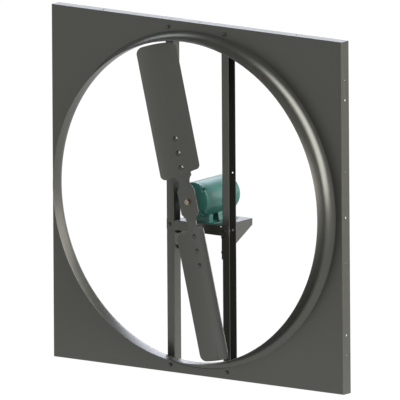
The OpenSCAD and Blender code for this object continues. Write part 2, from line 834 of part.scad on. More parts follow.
// The box stands on the shell's left side, open outwards
module conduit_box() {
    color("#37705f") place() difference() {
        translate([-cover_x, box_mid_y - box_half_l, -box_half_h])
            cube([cover_x - box_in_x + motor_r / 3, box_length, box_height]);
        difference() {
            translate([-cover_x - cut, box_mid_y - box_half_l + box_wall, -box_half_h + box_wall])
                cube([cover_x - motor_r - box_wall + cut, box_length - 2 * box_wall,
                    box_height - 2 * box_wall]);
            conduit_screw_places() rod_x(boss_r, -cover_x, -motor_r);
        }
        rod_y(motor_r, shell_front_y, shell_back_y);
        translate([0, box_mid_y, 0]) rod_x(entry_r, -cover_x, 0);
        translate([entry_x, 0, 0])
            rod_y(entry_r, box_mid_y + box_half_l - box_wall - cut, box_mid_y + box_half_l + cut);
        conduit_screw_places() rod_x(box_screw_r + nut_clear, -cover_x - cut, 0);
    }
}

module conduit_box_cover() {
    color("#37705f") place() difference() {
        translate([-box_reach, box_mid_y - box_half_l, -box_half_h])
            cube([cover_sheet, box_length, box_height]);
        conduit_screw_places() rod_x(box_screw_r + hole_clear, -box_reach - cut, -cover_x + cut);
    }
}

module conduit_box_screws() {
    color("#8c8c86") place() conduit_screw_places() {
        rod_x(box_screw_head_r, -box_reach - box_screw_head, -box_reach);
        rod_x(box_screw_r, -box_reach - cut, -shell_inner_r - box_screw_gap);
    }
}

// A bearing race from r0 to r1 with a groove for the balls
module race(y, r0, r1) {
    difference() {
        rod_y(r1, y, y + bearing_w);
        rod_y(r0, y - cut, y + bearing_w + cut);
        translate([0, y + bearing_w / 2, 0])
            turned() translate([race_mid_r, 0]) circle(r = groove_r);
    }
}

module outer_race(y) {
    color("#b0b0b0") place() race(y, race_mid_r + race_gap, bearing_r);
}

module inner_race(y) {
    color("#b0b0b0") place() race(y, journal_r + race_fit, race_mid_r - race_gap);
}

module balls(y) {
    color("#d0d0d0") place() for (i = [0:ball_count - 1])
        rotate([0, i * 360 / ball_count, 0])
            translate([0, y + bearing_w / 2, race_mid_r]) sphere(r = ball_r);
}

module front_bearing_outer_race() {
    outer_race(front_bearing_y);
}

module front_bearing_balls() {
    balls(front_bearing_y);
}

module front_bearing_inner_race() {
    inner_race(front_bearing_y);
}

module rear_bearing_outer_race() {
    outer_race(rear_bearing_y);
}

module rear_bearing_balls() {
    balls(rear_bearing_y);
}

module rear_bearing_inner_race() {
    inner_race(rear_bearing_y);
}

module rotor_core() {
    color("#6a6a6e") rotor_place() difference() {
        rod_y(rotor_r, core_front_y, core_back_y);
        rod_y(shaft_collar_r + race_fit, core_front_y - cut, core_back_y + cut);
    }
}

module key_block(extra) {
    translate([shaft_r - key_w / 2 - extra, hub_front_y + key_front - extra, -key_w / 2 - extra])
        cube([key_w + 2 * extra, hub_length - 2 + 2 * extra, key_w + 2 * extra]);
}

module motor_shaft() {
    color("#a8a8a4") rotor_place() difference() {
        union() {
            rod_y(shaft_r, shaft_front_y, front_bearing_y);
            rod_y(journal_r, front_bearing_y - 1, shaft_back_y);
            rod_y(shaft_collar_r, front_bearing_y + bearing_w, rear_bearing_y);
        }
        key_block(0);
    }
}

module shaft_key() {
    color("#8c8c88") rotor_place() key_block(0);
}

module hub() {
    color("#8f7a35") rotor_place() difference() {
        union() {
            rod_y(hub_rim_r, hub_front_y - hub_rim, hub_back_y);
            rod_y(hub_r, hub_front_y + spider_sheet, hub_back_y);
        }
        rod_y(hub_bore_r, hub_front_y - hub_rim - cut, hub_back_y + cut);
        key_block(hub_fit);
        translate([0, (hub_front_y + spider_sheet + hub_back_y) / 2, 0])
            rod_z(set_screw_r + hub_fit, 0, hub_r + cut);
    }
}

module hub_set_screw() {
    color("#3a3a3a") rotor_place() translate([0, (hub_front_y + spider_sheet + hub_back_y) / 2, 0])
        rod_z(set_screw_r, shaft_r, hub_r - 2);
}

// One arm in X and Z, lying flat: a waist drawn in by two arcs, then the wide end
module arm_outline() {
    difference() {
        translate([-arm_w / 2, arm_start_r])
            square([arm_w, neck_end_r + arm_round - arm_start_r]);
        for (s = [-1, 1])
            translate([s * (neck_w / 2 + neck_arc_r), neck_mid_r]) circle(r = neck_arc_r);
    }
    translate([0, (neck_end_r + arm_r) / 2]) rounded_rect(arm_w, arm_r - neck_end_r, arm_round);
}

// The part of an arm's outline from z up, h high
module arm_part(z, h) {
    intersection() {
        arm_outline();
        translate([-arm_w, z]) square([2 * arm_w, h]);
    }
}

// A drawing in X and Z, y0 to y1 deep on the bolt line and curved forward beside it
module cambered(y0, y1) {
    intersection() {
        slab_y(camber_y, y1) children();
        translate([0, camber_y, 0]) difference() {
            rod_z(y1 - camber_y, 0, tip_r + cut);
            rod_z(y0 - camber_y, -cut, tip_r + 2 * cut);
        }
    }
}

// The neck twists the arm to the blades' pitch in equal steps, up to the curved pad
module arm() {
    for (i = [0:neck_steps - 1]) rotate([0, 0, blade_pitch * (i + 1) / (neck_steps + 1)])
        slab_y(-spider_sheet / 2, spider_sheet / 2) arm_part(arm_start_r + i * neck_step, neck_step + cut);
    rotate([0, 0, blade_pitch]) cambered(-spider_sheet / 2 + pad_fit, spider_sheet / 2)
        arm_part(neck_end_r, arm_r);
}

module propeller_spider() {
    color("#4e4e48") rotor_place() difference() {
        union() {
            slab_y(spider_y - spider_sheet / 2, spider_y + spider_sheet / 2)
                rounded_rect(hub_plate_w, hub_plate_l, hub_corner);
            for (s = [0, 1]) rotate([0, 180 * s, 0]) translate([0, spider_y, 0]) arm();
        }
        rod_y(hub_rim_r + hub_fit, hub_front_y - 3 * spider_sheet, hub_front_y + 4 * spider_sheet);
        for (s = [0, 1]) rotate([0, 180 * s, 0]) blade_bolt_places()
            rod_y(blade_bolt_r + hole_clear, -4 * spider_sheet, 4 * spider_sheet);
        // Flat seats where the hub meets the twisted arms
        rod_y(hub_seat_r, hub_front_y + spider_sheet, hub_back_y);
        rod_y(hub_seat_r, hub_front_y - 3 * spider_sheet, hub_front_y);
    }
}

// Each bolt of the upper blade: Y runs square to the blade, zero in the middle of the arm
module blade_bolt_places() {
    translate([0, spider_y, 0]) rotate([0, 0, blade_pitch])
        for (r = blade_bolts) translate([0, 0, r]) children();
}

// A blade in X and Z: a slanted root, a tip that follows the throat, and four round corners
module blade_outline() {
    roots = [root_centre(-blade_lead + root_round), root_centre(blade_trail - root_round)];
    tips = [tip_centre(-blade_lead + tip_round), tip_centre(blade_trail - tip_round)];
    tip_angles = [for (p = tips) atan2(p[1], p[0])];
    polygon(concat(
        arc(roots[0], root_round, 180, 270 + root_skew, corner_steps, 0),
        arc(roots[1], root_round, 270 + root_skew, 360, corner_steps, 0),
        arc(tips[1], tip_round, 0, tip_angles[1], corner_steps, 0),
        arc([0, 0], tip_r, tip_angles[1], tip_angles[0], tip_steps, 1),
        arc(tips[0], tip_round, tip_angles[0], 180, corner_steps, 0)
    ));
}

module blade() {
    difference() {
        translate([0, spider_y, 0]) rotate([0, 0, blade_pitch])
            cambered(-blade_front, -spider_sheet / 2) blade_outline();
        blade_bolt_places() rod_y(blade_bolt_r + hole_clear, -4 * spider_sheet, 4 * spider_sheet);
    }
}

module blade_upper() {
    color("#4e4e48") rotor_place() blade();
}

module blade_lower() {
    color("#4e4e48") rotor_place() rotate([0, 180, 0]) blade();
}

// A domed head on the blade's front and a plain shank through the arm
module blade_bolt() {
    dome_r = (pow(blade_bolt_head_r, 2) + pow(blade_bolt_dome, 2)) / (2 * blade_bolt_dome);
    intersection() {
        translate([0, blade_head_y + dome_r - blade_bolt_dome, 0]) sphere(r = dome_r);
        rod_y(blade_bolt_head_r + cut, blade_head_y - blade_bolt_dome - cut, blade_head_y);
    }
    rod_y(blade_bolt_r, blade_head_y - cut, blade_bolt_end);
}

module blade_bolts() {
    color("#5a5a54") rotor_place() for (s = [0, 1]) rotate([0, 180 * s, 0])
        blade_bolt_places() blade_bolt();
}

module blade_nuts() {
    color("#5a5a54") rotor_place() for (s = [0, 1]) rotate([0, 180 * s, 0])
        blade_bolt_places() translate([0, spider_sheet / 2, 0]) rotate([-90, 0, 0])
            hex_nut(blade_bolt_r, blade_nut_flats, blade_nut_height);
}

fan_panel();
orifice_ring();
upright_left();
upright_right();
panel_bolts();
panel_nuts();
motor_shelf();
lip_bolts();
lip_nuts();
gusset_bolts();
gusset_nuts();
motor_base();
motor_base_bolts();
motor_base_nuts();
motor_shell();
front_end_bell();
rear_end_bell();
through_bolts();
stator_core();
stator_windings();
conduit_box();
conduit_box_cover();
conduit_box_screws();
front_bearing_outer_race();
front_bearing_balls();
front_bearing_inner_race();
rear_bearing_outer_race();
rear_bearing_balls();
rear_bearing_inner_race();
rotor_core();
motor_shaft();
shaft_key();
hub();
hub_set_screw();
propeller_spider();
blade_upper();
blade_lower();
blade_bolts();
blade_nuts();
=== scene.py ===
"""Direct drive fan: finishes, rolled edges, castings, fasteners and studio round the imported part.

X runs across the panel, Y from the inlet side to the motor side and Z up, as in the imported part.
The settings are in metres and radians. The constants and the meshes are in millimetres from the
fan's axis and the panel's front face, and to_fan() takes a mesh from there to its place.
"""

import json
import math

import bmesh
import bpy
from bpy.props import FloatProperty, FloatVectorProperty, IntProperty, PointerProperty
from mathutils import Matrix, Vector


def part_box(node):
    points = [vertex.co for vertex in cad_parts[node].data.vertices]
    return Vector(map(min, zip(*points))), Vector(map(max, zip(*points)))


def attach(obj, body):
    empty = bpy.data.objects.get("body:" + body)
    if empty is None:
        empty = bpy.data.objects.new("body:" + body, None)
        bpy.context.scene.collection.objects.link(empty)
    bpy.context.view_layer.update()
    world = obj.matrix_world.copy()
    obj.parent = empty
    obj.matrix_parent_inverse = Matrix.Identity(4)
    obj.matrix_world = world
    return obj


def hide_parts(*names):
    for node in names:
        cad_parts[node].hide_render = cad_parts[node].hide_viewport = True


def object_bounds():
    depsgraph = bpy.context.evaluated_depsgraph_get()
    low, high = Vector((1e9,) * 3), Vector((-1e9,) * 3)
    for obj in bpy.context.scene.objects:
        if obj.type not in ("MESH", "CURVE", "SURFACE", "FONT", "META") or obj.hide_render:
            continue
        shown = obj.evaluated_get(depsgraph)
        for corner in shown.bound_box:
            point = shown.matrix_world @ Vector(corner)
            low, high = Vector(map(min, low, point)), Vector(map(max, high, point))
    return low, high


bl_info = {
    "name": "Direct Drive Fan Dressing",
    "version": (1, 0, 0),
    "blender": (4, 5, 0),
    "location": "3D View > Sidebar > Fan",
    "description": "Builds the painted sheet metal, motor, propeller and studio of a panel fan",
    "category": "Object",
}

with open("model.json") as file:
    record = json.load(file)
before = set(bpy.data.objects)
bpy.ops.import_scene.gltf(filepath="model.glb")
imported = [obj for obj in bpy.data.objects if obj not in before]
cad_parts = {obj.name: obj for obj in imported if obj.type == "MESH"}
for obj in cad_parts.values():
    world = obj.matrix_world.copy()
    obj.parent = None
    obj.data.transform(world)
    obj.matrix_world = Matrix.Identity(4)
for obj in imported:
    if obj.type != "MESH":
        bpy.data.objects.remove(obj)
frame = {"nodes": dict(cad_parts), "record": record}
PART_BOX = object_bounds()
BODY_OF = {
    node: body
    for body, nodes in frame["record"]["behaviour"]["bodies"].items() for node in nodes}


def corners(node):
    """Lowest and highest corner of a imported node."""
    low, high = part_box(node)
    return Vector(low), Vector(high)


PANEL_LOW, PANEL_HIGH = corners("fan_panel")
AXIS_Z = (PANEL_LOW.z + PANEL_HIGH.z) / 2
FACE_Y = PANEL_LOW.y
MM = 0.001

# Frame bolts: where the heads and nuts sit, their sizes, and each kind's length and thread
FLANGE_HOLE_X = 148.7
RIM_BOLT_CIRCLE = 746
RIM_BOLT_Z = math.sqrt(RIM_BOLT_CIRCLE ** 2 - FLANGE_HOLE_X ** 2)
RIM_BOLT_Y = 0
LIP_BOLT_Y = 1
LIP_BOLT_Z = -123
FLANGE_NUT_Y = 6.5
GUSSET_BOLT_X = 129
GUSSET_NUT_X = 123.5
GUSSET_BOLT_Y = 29
GUSSET_BOLTS_Z = (-156, -221)
BASE_BOLT_X = 62
BASE_BOLTS_Y = (105 - 38.1, 105 + 38.1)
BASE_BOLT_Z = -99
BASE_NUT_Z = -105
BOLT_R = 4.76
BOLT_FLATS = 14.3
BOLT_HEAD = 6.5
NUT_HEIGHT = 8.3
NUT_CLEARANCE = 0.05
RIM_BOLT = (17.8, 9)
SHELF_BOLT = (24.8, 17)
BASE_BOLT = (17.3, 9)

# Orifice ring's rim and facets
RIM_FRONT_Y = 2.0
RIM_ROLL = 0.3
LIP_STEPS = 8
BELL_STEPS = 18

# Motor. SHELL_END is how far the shell's ends roll inward, and where along the shell.
SHELL_R = 78
SHELL_BORE = 75
SHELL_LENGTH = 152
SHELL_STEP = 8
SHELL_END = ((0.8, 0), (0.2, 0.2), (0, 0.8))
SEAM_HEIGHT = 0.7
SEAM_WIDTH = 2.2
CASE_BOLT_CIRCLE = 69.8
CASE_BOLT_Y = -11.2
CASE_BOLT_R = 2.4
CASE_BOLT_FLATS = 9
CASE_BOLT_HEAD = 4
CASE_BOLT_LENGTH = 177.2
CASE_BOLT_THREAD = 14

# Conduit cover's screws, with the pan head as (radius, height) pairs
COVER_X = -118
COVER_SCREWS_Y = (76 - 34.5, 76 + 34.5)
COVER_SCREW_R = 2
COVER_SCREW_LENGTH = 42.7
PAN_HEAD = ((2.4, -1.9), (3.3, -1.5), (3.75, -0.7), (3.8, 0))
RECESS_REACH = 1.9
RECESS_HALF_WIDTH = 0.5
RECESS_TOP = -1.95
RECESS_FLOOR = -0.9
RECESS_TAPER = 0.7

# Spider: half widths of the hub plate, the neck and the arm, and how far out each of them ends.
# Its outline is taken at the stations, which lie close together where it narrows and twists.
SPIDER_Y = -65.5
SPIDER_SHEET = 5
HUB_PLATE_HALF = 46.5
HUB_PLATE_END = 56
HUB_PLATE_CORNER = 8
NECK_HALF = 26
NECK_R = 29.5
NECK_Z = 85.5
ARM_HALF = 40
ARM_START = 115
ARM_END = 300
ARM_CORNER = 12
ARM_TWIST = (50, 115)
ARM_CAMBER = (85, 112)
SPIDER_STATIONS = (
    0, 20, 40, 48, 51, 53.5, 55, 56, *(56.2 + step * 2.1 for step in range(29)),
    150, 200, 250, 288, 291, 294, 296.5, 298.5, 299.5, 300)
SPIDER_COLUMNS = 16
SPIDER_ROLL = 1.0
SPIDER_ROLL_STEPS = 3

# Blades and their domed bolts
BLADE_SHEET = 2.5
BLADE_PITCH = math.radians(13.8)
BLADE_BOLTS = (149, 211.5, 274)
CAMBER_R = 260
BLADE_SCREW_R = 3.97
BLADE_SCREW_LENGTH = 10.7
BLADE_NUT_FLATS = 12.7
BLADE_NUT_HEIGHT = 6.7
DOME_R = 11.5
DOME_HEIGHT = 6
DOME_SEAT = 0.35
DOME_LOOPS = (0.04, 0.2, 0.4, 0.6, 0.8, 0.92, 1)
ROTOR_REST = Matrix.Rotation(math.radians(-13.3), 4, "Y")

# Detail of every fastener: shares of the half width or the radius, and lengths
LOOP_POINTS = 48
HEX_CROWN = 0.95
CROWN_SLOPE = math.tan(math.radians(30))
HEX_END = 0.5
WASHER_FACE = 0.93
WASHER_HEIGHT = 0.4
NUT_SINK = 0.6
THREAD_TIP = 0.9
THREAD_TIP_R = 0.78
THREAD_STEPS = 6
THREAD_DEPTH = 0.54

# Edges and shading, with angles in degrees
MERGE = 0.001
FLAT = 0.3
HARD_EDGE = 30
ROLL_STEPS = 2
CREASE = 32
RING_CREASE = 24
BLADE_CREASE = 40

# Second colours of the finishes
DUST = (0.30, 0.29, 0.27)
WORN_BOLT = (0.20, 0.18, 0.17)
WORN_MOTOR = (0.20, 0.32, 0.30)
CORE_RUST = (0.17, 0.10, 0.06)
CORE_GAP = (0.03, 0.03, 0.03)
DARK_VARNISH = (0.20, 0.06, 0.02)

# Studio. A lamp is where its light comes from, how many degrees wide it is, and its colour.
# A step is the level of a soft step and half its width. The floor's size and step are in metres.
PICTURE = 400
PICTURE_SHIFT = (2.7, -0.5, 0)
KEY_SIDE = (0.78, -0.06, 0.62)
KEY_SPREAD = 80
LAMPS = {
    "key": (KEY_SIDE, KEY_SPREAD, (1, 0.96, 0.90)),
    "side": ((0.80, 0.58, 0.02), 52, (1, 0.88, 0.84)),
    "top": ((-0.76, -0.04, 0.64), 24, (0.86, 0.92, 1)),
    "back": ((-0.38, 0.79, 0.48), 34, (0.84, 0.87, 1)),
}
BOX_STEP = (math.cos(math.radians(KEY_SPREAD / 2)), 0.05)
OVERHEAD_STEP = (0.26, 0.26)
FLOOR_SIZE = 60
FLOOR_CELLS = 8
FLOOR_GAP = 0.5
FLOOR_COLOUR = (0.2, 0.2, 0.2)
FLOOR_GLOW = 1.13
FLOOR_SHARE = 0.88
NEAR_STEP = (1.2, 0.7)
WHITE = (1, 1, 1)

INSIDE_FINISHES = {
    "stator_core": "lamination_steel", "rotor_core": "lamination_steel",
    "stator_windings": "winding_copper", "front_bearing_outer_race": "bright_steel",
    "front_bearing_balls": "bright_steel", "front_bearing_inner_race": "bright_steel",
    "rear_bearing_outer_race": "bright_steel", "rear_bearing_balls": "bright_steel",
    "rear_bearing_inner_race": "bright_steel", "shaft_key": "bright_steel",
    "hub_set_screw": "black_screw",
}


# Settings


class FanPaints(bpy.types.PropertyGroup):
    """Colours of the fan's finishes"""

    frame_paint: FloatVectorProperty(
        name="Frame paint", description="Dark enamel on the panel, ring, frame and propeller",
        default=(0.074, 0.075, 0.067), size=3, min=0, max=1, subtype="COLOR")
    primer: FloatVectorProperty(
        name="Worn edge", description="What shows where the enamel is thin on an edge",
        default=(0.16, 0.155, 0.14), size=3, min=0, max=1, subtype="COLOR")
    bolt_paint: FloatVectorProperty(
        name="Bolt paint", description="Brownish enamel on the bolts and nuts of the frame",
        default=(0.062, 0.054, 0.051), size=3, min=0, max=1, subtype="COLOR")
    motor_paint: FloatVectorProperty(
        name="Motor paint", description="Blue-green enamel on the motor and its base",
        default=(0.031, 0.132, 0.114), size=3, min=0, max=1, subtype="COLOR")
    brass: FloatVectorProperty(
        name="Hub brass", description="Plated rim of the hub",
        default=(0.22, 0.15, 0.05), size=3, min=0, max=1, subtype="COLOR")
    steel: FloatVectorProperty(
        name="Bright steel", description="Ground shaft and bearing steel",
        default=(0.24, 0.225, 0.20), size=3, min=0, max=1, subtype="COLOR")
    zinc: FloatVectorProperty(
        name="Zinc plate", description="Plated bolts, nuts and screws of the motor",
        default=(0.40, 0.41, 0.42), size=3, min=0, max=1, subtype="COLOR")
    black_oxide: FloatVectorProperty(
        name="Black oxide", description="Blackened screws",
        default=(0.025, 0.027, 0.028), size=3, min=0, max=1, subtype="COLOR")
    lamination: FloatVectorProperty(
        name="Core steel", description="Stacked sheets of the stator and rotor cores",
        default=(0.13, 0.13, 0.14), size=3, min=0, max=1, subtype="COLOR")
    copper: FloatVectorProperty(
        name="Winding copper", description="Varnished winding wire",
        default=(0.50, 0.20, 0.08), size=3, min=0, max=1, subtype="COLOR")
    flake: FloatProperty(
        name="Flake", description="Share of metal flake in the frame paint",
        default=0.70, min=0, max=1, subtype="FACTOR")
    gloss: FloatProperty(
        name="Enamel roughness", description="Roughness of the frame enamel",
        default=0.34, min=0.05, max=1, subtype="FACTOR")


class FanShapes(bpy.types.PropertyGroup):
    """Sizes of the sheet edges, the castings' edges, the ring and the threads"""

    sheet_edge: FloatProperty(
        name="Sheet edge", description="Roll of a cut sheet edge",
        default=0.6 * MM, min=0.1 * MM, max=1.5 * MM, unit="LENGTH")
    casting_edge: FloatProperty(
        name="Casting edge", description="Roll of an edge on a cast or pressed motor piece",
        default=1.2 * MM, min=0.3 * MM, max=4 * MM, unit="LENGTH")
    throat_radius: FloatProperty(
        name="Throat radius", description="Inside radius of the orifice ring",
        default=694.7 * MM, min=0.6, max=0.72, unit="LENGTH")
    throat_reach: FloatProperty(
        name="Throat reach", description="How far the throat stands in front of the panel",
        default=FACE_Y - corners("orifice_ring")[0].y, min=0.05, max=0.12, unit="LENGTH")
    bell_mouth: FloatProperty(
        name="Bell mouth", description="Radius of the flare between the throat and the rim",
        default=44 * MM, min=30 * MM, max=60 * MM, unit="LENGTH")
    rim_radius: FloatProperty(
        name="Rim crease", description="Radius at which the flare meets the flat rim",
        default=728 * MM, min=0.7, max=0.74, unit="LENGTH")
    ring_sheet: FloatProperty(
        name="Ring sheet", description="Thickness of the orifice ring",
        default=2 * MM, min=1 * MM, max=4 * MM, unit="LENGTH")
    turns: IntProperty(
        name="Turning steps", description="Facets round a turned piece",
        default=288, min=48, max=720)
    thread_pitch: FloatProperty(
        name="Thread pitch", description="Distance between the threads of the frame bolts",
        default=1.41 * MM, min=0.8 * MM, max=2 * MM, unit="LENGTH")


class FanStudio(bpy.types.PropertyGroup):
    """The camera's place and the level of the lamps"""

    azimuth: FloatProperty(
        name="Azimuth", description="How far the camera stands to the right of the fan's front",
        default=math.radians(36.3), subtype="ANGLE")
    elevation: FloatProperty(
        name="Elevation", description="How far the camera stands above the horizon",
        default=math.radians(11.0), subtype="ANGLE")
    roll: FloatProperty(
        name="Roll", description="How far the picture is turned anticlockwise",
        default=math.radians(0.37), subtype="ANGLE")
    distance: FloatProperty(
        name="Distance", description="Distance from the camera to the fan",
        default=8, min=5, unit="LENGTH")
    pixel: FloatProperty(
        name="Pixel", description="Size on the fan of one pixel of the picture",
        default=4.244 * MM, min=0.5 * MM, unit="LENGTH")
    key: FloatProperty(
        name="Key lamp", description="Level of the soft lamp high on the right",
        default=1.2, min=0, max=6)
    box: FloatProperty(
        name="Soft box", description="How bright the key lamp's soft box looks in glossy paint",
        default=7.0, min=0, max=20)
    back: FloatProperty(
        name="Back lamp",
        description="Level of the bluish lamp behind, which gives level faces their sheen",
        default=0.44, min=0, max=6)
    side: FloatProperty(
        name="Side lamp", description="Level of the low lamp behind on the right",
        default=0.6, min=0, max=6)
    top: FloatProperty(
        name="Top lamp", description="Level of the small lamp high on the left",
        default=0.25, min=0, max=6)
    overhead: FloatProperty(
        name="Overhead", description="Level of what the paint mirrors from straight above",
        default=0.12, min=0, max=1)
    floor: FloatProperty(
        name="Floor glow",
        description="Extra light that the paint mirrors from the floor round the fan",
        default=0.30, min=0, max=6)
    ambient: FloatProperty(
        name="Ambient", description="Level of the light from all round",
        default=0.60, min=0, max=2)


# Finishes


class Signal:
    """A shader socket that can stand in a Python expression. Each operation adds its Math node."""

    def __init__(self, finish, socket):
        self.finish = finish
        self.socket = socket

    def math(self, operation, *values):
        sockets = dict(enumerate(values))
        return self.finish.node("ShaderNodeMath", {"operation": operation}, sockets)

    def __add__(self, other):
        return self.math("ADD", self, other)

    __radd__ = __add__

    def __sub__(self, other):
        return self.math("SUBTRACT", self, other)

    def __rsub__(self, other):
        return self.math("SUBTRACT", other, self)

    def __mul__(self, other):
        return self.math("MULTIPLY", self, other)

    __rmul__ = __mul__

    def __pow__(self, other):
        return self.math("POWER", self, other)

    def above(self, level, soft):
        """0 below the level, 1 above it, with a soft step between."""
        return self.finish.node(
            "ShaderNodeMapRange", {"interpolation_type": "SMOOTHSTEP"},
            {"Value": self, "From Min": level - soft, "From Max": level + soft})


class Finish:
    """A material, and the nodes that make it."""

    def __init__(self, name, world=None):
        self.data = world or bpy.data.materials.new(name)
        self.data.use_nodes = True
        self.tree = self.data.node_tree
        self.tree.nodes.clear()
        kind = "ShaderNodeOutputWorld" if world else "ShaderNodeOutputMaterial"
        self.output = self.tree.nodes.new(kind)

    def node(self, kind, settings=None, sockets=None, out=0):
        """Adds a node: its settings first, then the values or links of its sockets."""
        node = self.tree.nodes.new(kind)
        for key, value in (settings or {}).items():
            setattr(node, key, value)
        for key, value in (sockets or {}).items():
            self.put(node.inputs[key], value)
        return Signal(self, node.outputs[out])

    def put(self, socket, value):
        """Links a socket to a signal, or sets its number, vector or colour."""
        if isinstance(value, Signal):
            self.tree.links.new(value.socket, socket)
        elif socket.type == "RGBA" and not isinstance(value, (int, float)):
            socket.default_value = (*tuple(value)[:3], 1)
        else:
            socket.default_value = value

    def place(self, scale=(1, 1, 1)):
        """Where a point lies on the piece, stretched by scale."""
        here = self.node("ShaderNodeTexCoord", out="Object")
        return self.node("ShaderNodeVectorMath", {"operation": "MULTIPLY"}, {0: here, 1: scale})

    def noise(self, scale, detail=3.0, roughness=0.5, stretch=(1, 1, 1)):
        return self.node(
            "ShaderNodeTexNoise", {"noise_dimensions": "3D"},
            {"Vector": self.place(stretch), "Scale": scale, "Detail": detail,
             "Roughness": roughness})

    def cells(self, scale):
        return self.node(
            "ShaderNodeTexVoronoi", {"feature": "F1"}, {"Vector": self.place(), "Scale": scale})

    def mix(self, share, a, b):
        """A colour that goes from a to b as share goes from 0 to 1."""
        return self.node(
            "ShaderNodeMix", {"data_type": "RGBA", "clamp_factor": True},
            {"Factor": share, 6: a, 7: b}, out=2)

    def facing(self, direction):
        """How far the surface faces a direction: 1 straight at it, 0 at a right angle or beyond."""
        normal = self.node("ShaderNodeNewGeometry", out="True Normal")
        toward = self.along(normal, direction)
        return toward.math("MAXIMUM", toward, 0.0)

    def along(self, vector, direction):
        """The part of a vector that lies along a direction."""
        return self.node(
            "ShaderNodeVectorMath", {"operation": "DOT_PRODUCT"}, {0: vector, 1: direction},
            out="Value")

    def edge(self):
        """1 on a rolled edge, 0 on the open surface."""
        return self.node("ShaderNodeAttribute", {"attribute_name": "rolled_edge"}, out="Fac")

    def bump(self, height, distance):
        return self.node("ShaderNodeBump", sockets={"Height": height, "Distance": distance})

    def ray(self, kind):
        """1 for one kind of ray, 0 for the others."""
        return self.node("ShaderNodeLightPath", out=f"Is {kind} Ray")

    def show(self, shader):
        self.tree.links.new(shader.socket, self.output.inputs["Surface"])

    def surface(self, **sockets):
        """Shows a Principled shader, its sockets named as in base_color, and gives the material."""
        names = {
            key.replace("_", " ").title().replace("Ior", "IOR"): value
            for key, value in sockets.items()}
        self.show(self.node("ShaderNodeBsdfPrincipled", sockets=names, out="BSDF"))
        return self.data


def enamel(name, paint, worn, roughness, peel_mm=0.012, specular=0.5, wear=0.35, flake=0.0):
    """Sprayed enamel: orange peel, faint cloudiness, a dusting on upward faces and thin edges.

    flake is the share of metal flake in the paint, which makes it mirror its surroundings.
    """
    f = Finish(name)
    cloud = f.noise(2.3, detail=4.0, roughness=0.55)
    speck = f.noise(420.0, detail=2.0, roughness=0.6)
    grime = f.noise(14.0, detail=5.0, roughness=0.62)
    tone = 0.98 + cloud * 0.02 + speck * 0.02
    shade = f.node(
        "ShaderNodeVectorMath", {"operation": "SCALE"}, {0: tuple(paint), "Scale": tone})
    worn_share = f.edge() * grime.above(0.47, 0.12) * wear
    dust = f.facing((0, 0, 1)) ** 3 * grime.above(0.5, 0.25) * 0.04
    base = f.mix(worn_share, shade, worn)
    base = f.mix(dust, base, DUST)
    peel = f.noise(330.0, detail=1.5, roughness=0.45)
    orange = f.cells(260.0)
    rough = roughness + (grime - 0.5) * 0.02 + dust * 0.5 + worn_share * 0.15
    return f.surface(
        base_color=base, metallic=flake, roughness=rough, specular_ior_level=specular,
        normal=f.bump(peel * 0.7 + orange * 0.3, peel_mm * MM))


def plated(name, colour, roughness, streak=(1, 1, 1), dull=(0.3, 0.3, 0.3)):
    """Plated metal: fine brushing across the way that streak stretches it, and duller patches."""
    f = Finish(name)
    brush = f.noise(900.0, detail=2.0, roughness=0.6, stretch=streak)
    patch = f.noise(60.0, detail=4.0, roughness=0.6)
    dulled = tuple(channel * share for channel, share in zip(colour, dull))
    base = f.mix(patch.above(0.55, 0.2) * 0.35, tuple(colour), dulled)
    rough = roughness + (patch - 0.5) * 0.25 + (brush - 0.5) * 0.12
    return f.surface(
        base_color=base, metallic=1.0, roughness=rough, normal=f.bump(brush, 0.01 * MM))


def stacked_sheets(name, colour):
    """The edges of stacked core sheets: fine lines across the motor's axis."""
    f = Finish(name)
    lines = f.node(
        "ShaderNodeTexWave", {"wave_type": "BANDS", "bands_direction": "Y"},
        {"Vector": f.place(), "Scale": 320.0, "Distortion": 0.4})
    rust = f.noise(35.0, detail=5.0, roughness=0.6)
    base = f.mix(rust.above(0.6, 0.1) * 0.4, tuple(colour), CORE_RUST)
    base = f.mix(lines * 0.35, base, CORE_GAP)
    return f.surface(
        base_color=base, metallic=0.8, roughness=0.45 + lines * 0.2,
        normal=f.bump(lines, 0.06 * MM))


def wound_wire(name, colour):
    """Varnished wire laid side by side."""
    f = Finish(name)
    strands = f.node(
        "ShaderNodeTexWave", {"wave_type": "RINGS", "rings_direction": "Y"},
        {"Vector": f.place(), "Scale": 260.0, "Distortion": 2.5, "Detail": 2.0})
    varnish = f.noise(40.0)
    base = f.mix(varnish * 0.5, tuple(colour), DARK_VARNISH)
    return f.surface(
        base_color=base, metallic=0.5, roughness=0.3 + varnish * 0.2, coat_weight=0.5,
        normal=f.bump(strands, 0.25 * MM))


FINISHES = {}


def finish(slot):
    """The material of one of the record's slots, made when it is first asked for."""
    if slot not in FINISHES:
        paints = bpy.context.scene.fan_paints

        def frame_enamel():
            return enamel(
                slot, paints.frame_paint, paints.primer, paints.gloss, flake=paints.flake)

        makers = {
            "painted_panel": frame_enamel,
            "painted_frame": frame_enamel,
            "painted_fasteners": lambda: enamel(
                slot, paints.bolt_paint, WORN_BOLT, roughness=0.26, peel_mm=0.006, wear=0.8,
                flake=paints.flake),
            "motor_paint": lambda: enamel(
                slot, paints.motor_paint, WORN_MOTOR, roughness=0.40, peel_mm=0.016,
                specular=0.4, wear=0.2),
            "zinc": lambda: plated(slot, paints.zinc, roughness=0.32),
            "bright_steel": lambda: plated(
                slot, paints.steel, roughness=0.22, streak=(1, 12, 1)),
            "black_screw": lambda: plated(slot, paints.black_oxide, roughness=0.42),
            "hub_brass": lambda: plated(
                slot, paints.brass, roughness=0.28, dull=(0.45, 0.4, 0.3)),
            "lamination_steel": lambda: stacked_sheets(slot, paints.lamination),
            "winding_copper": lambda: wound_wire(slot, paints.copper),
        }
        FINISHES[slot] = makers[slot]()
    return FINISHES[slot]


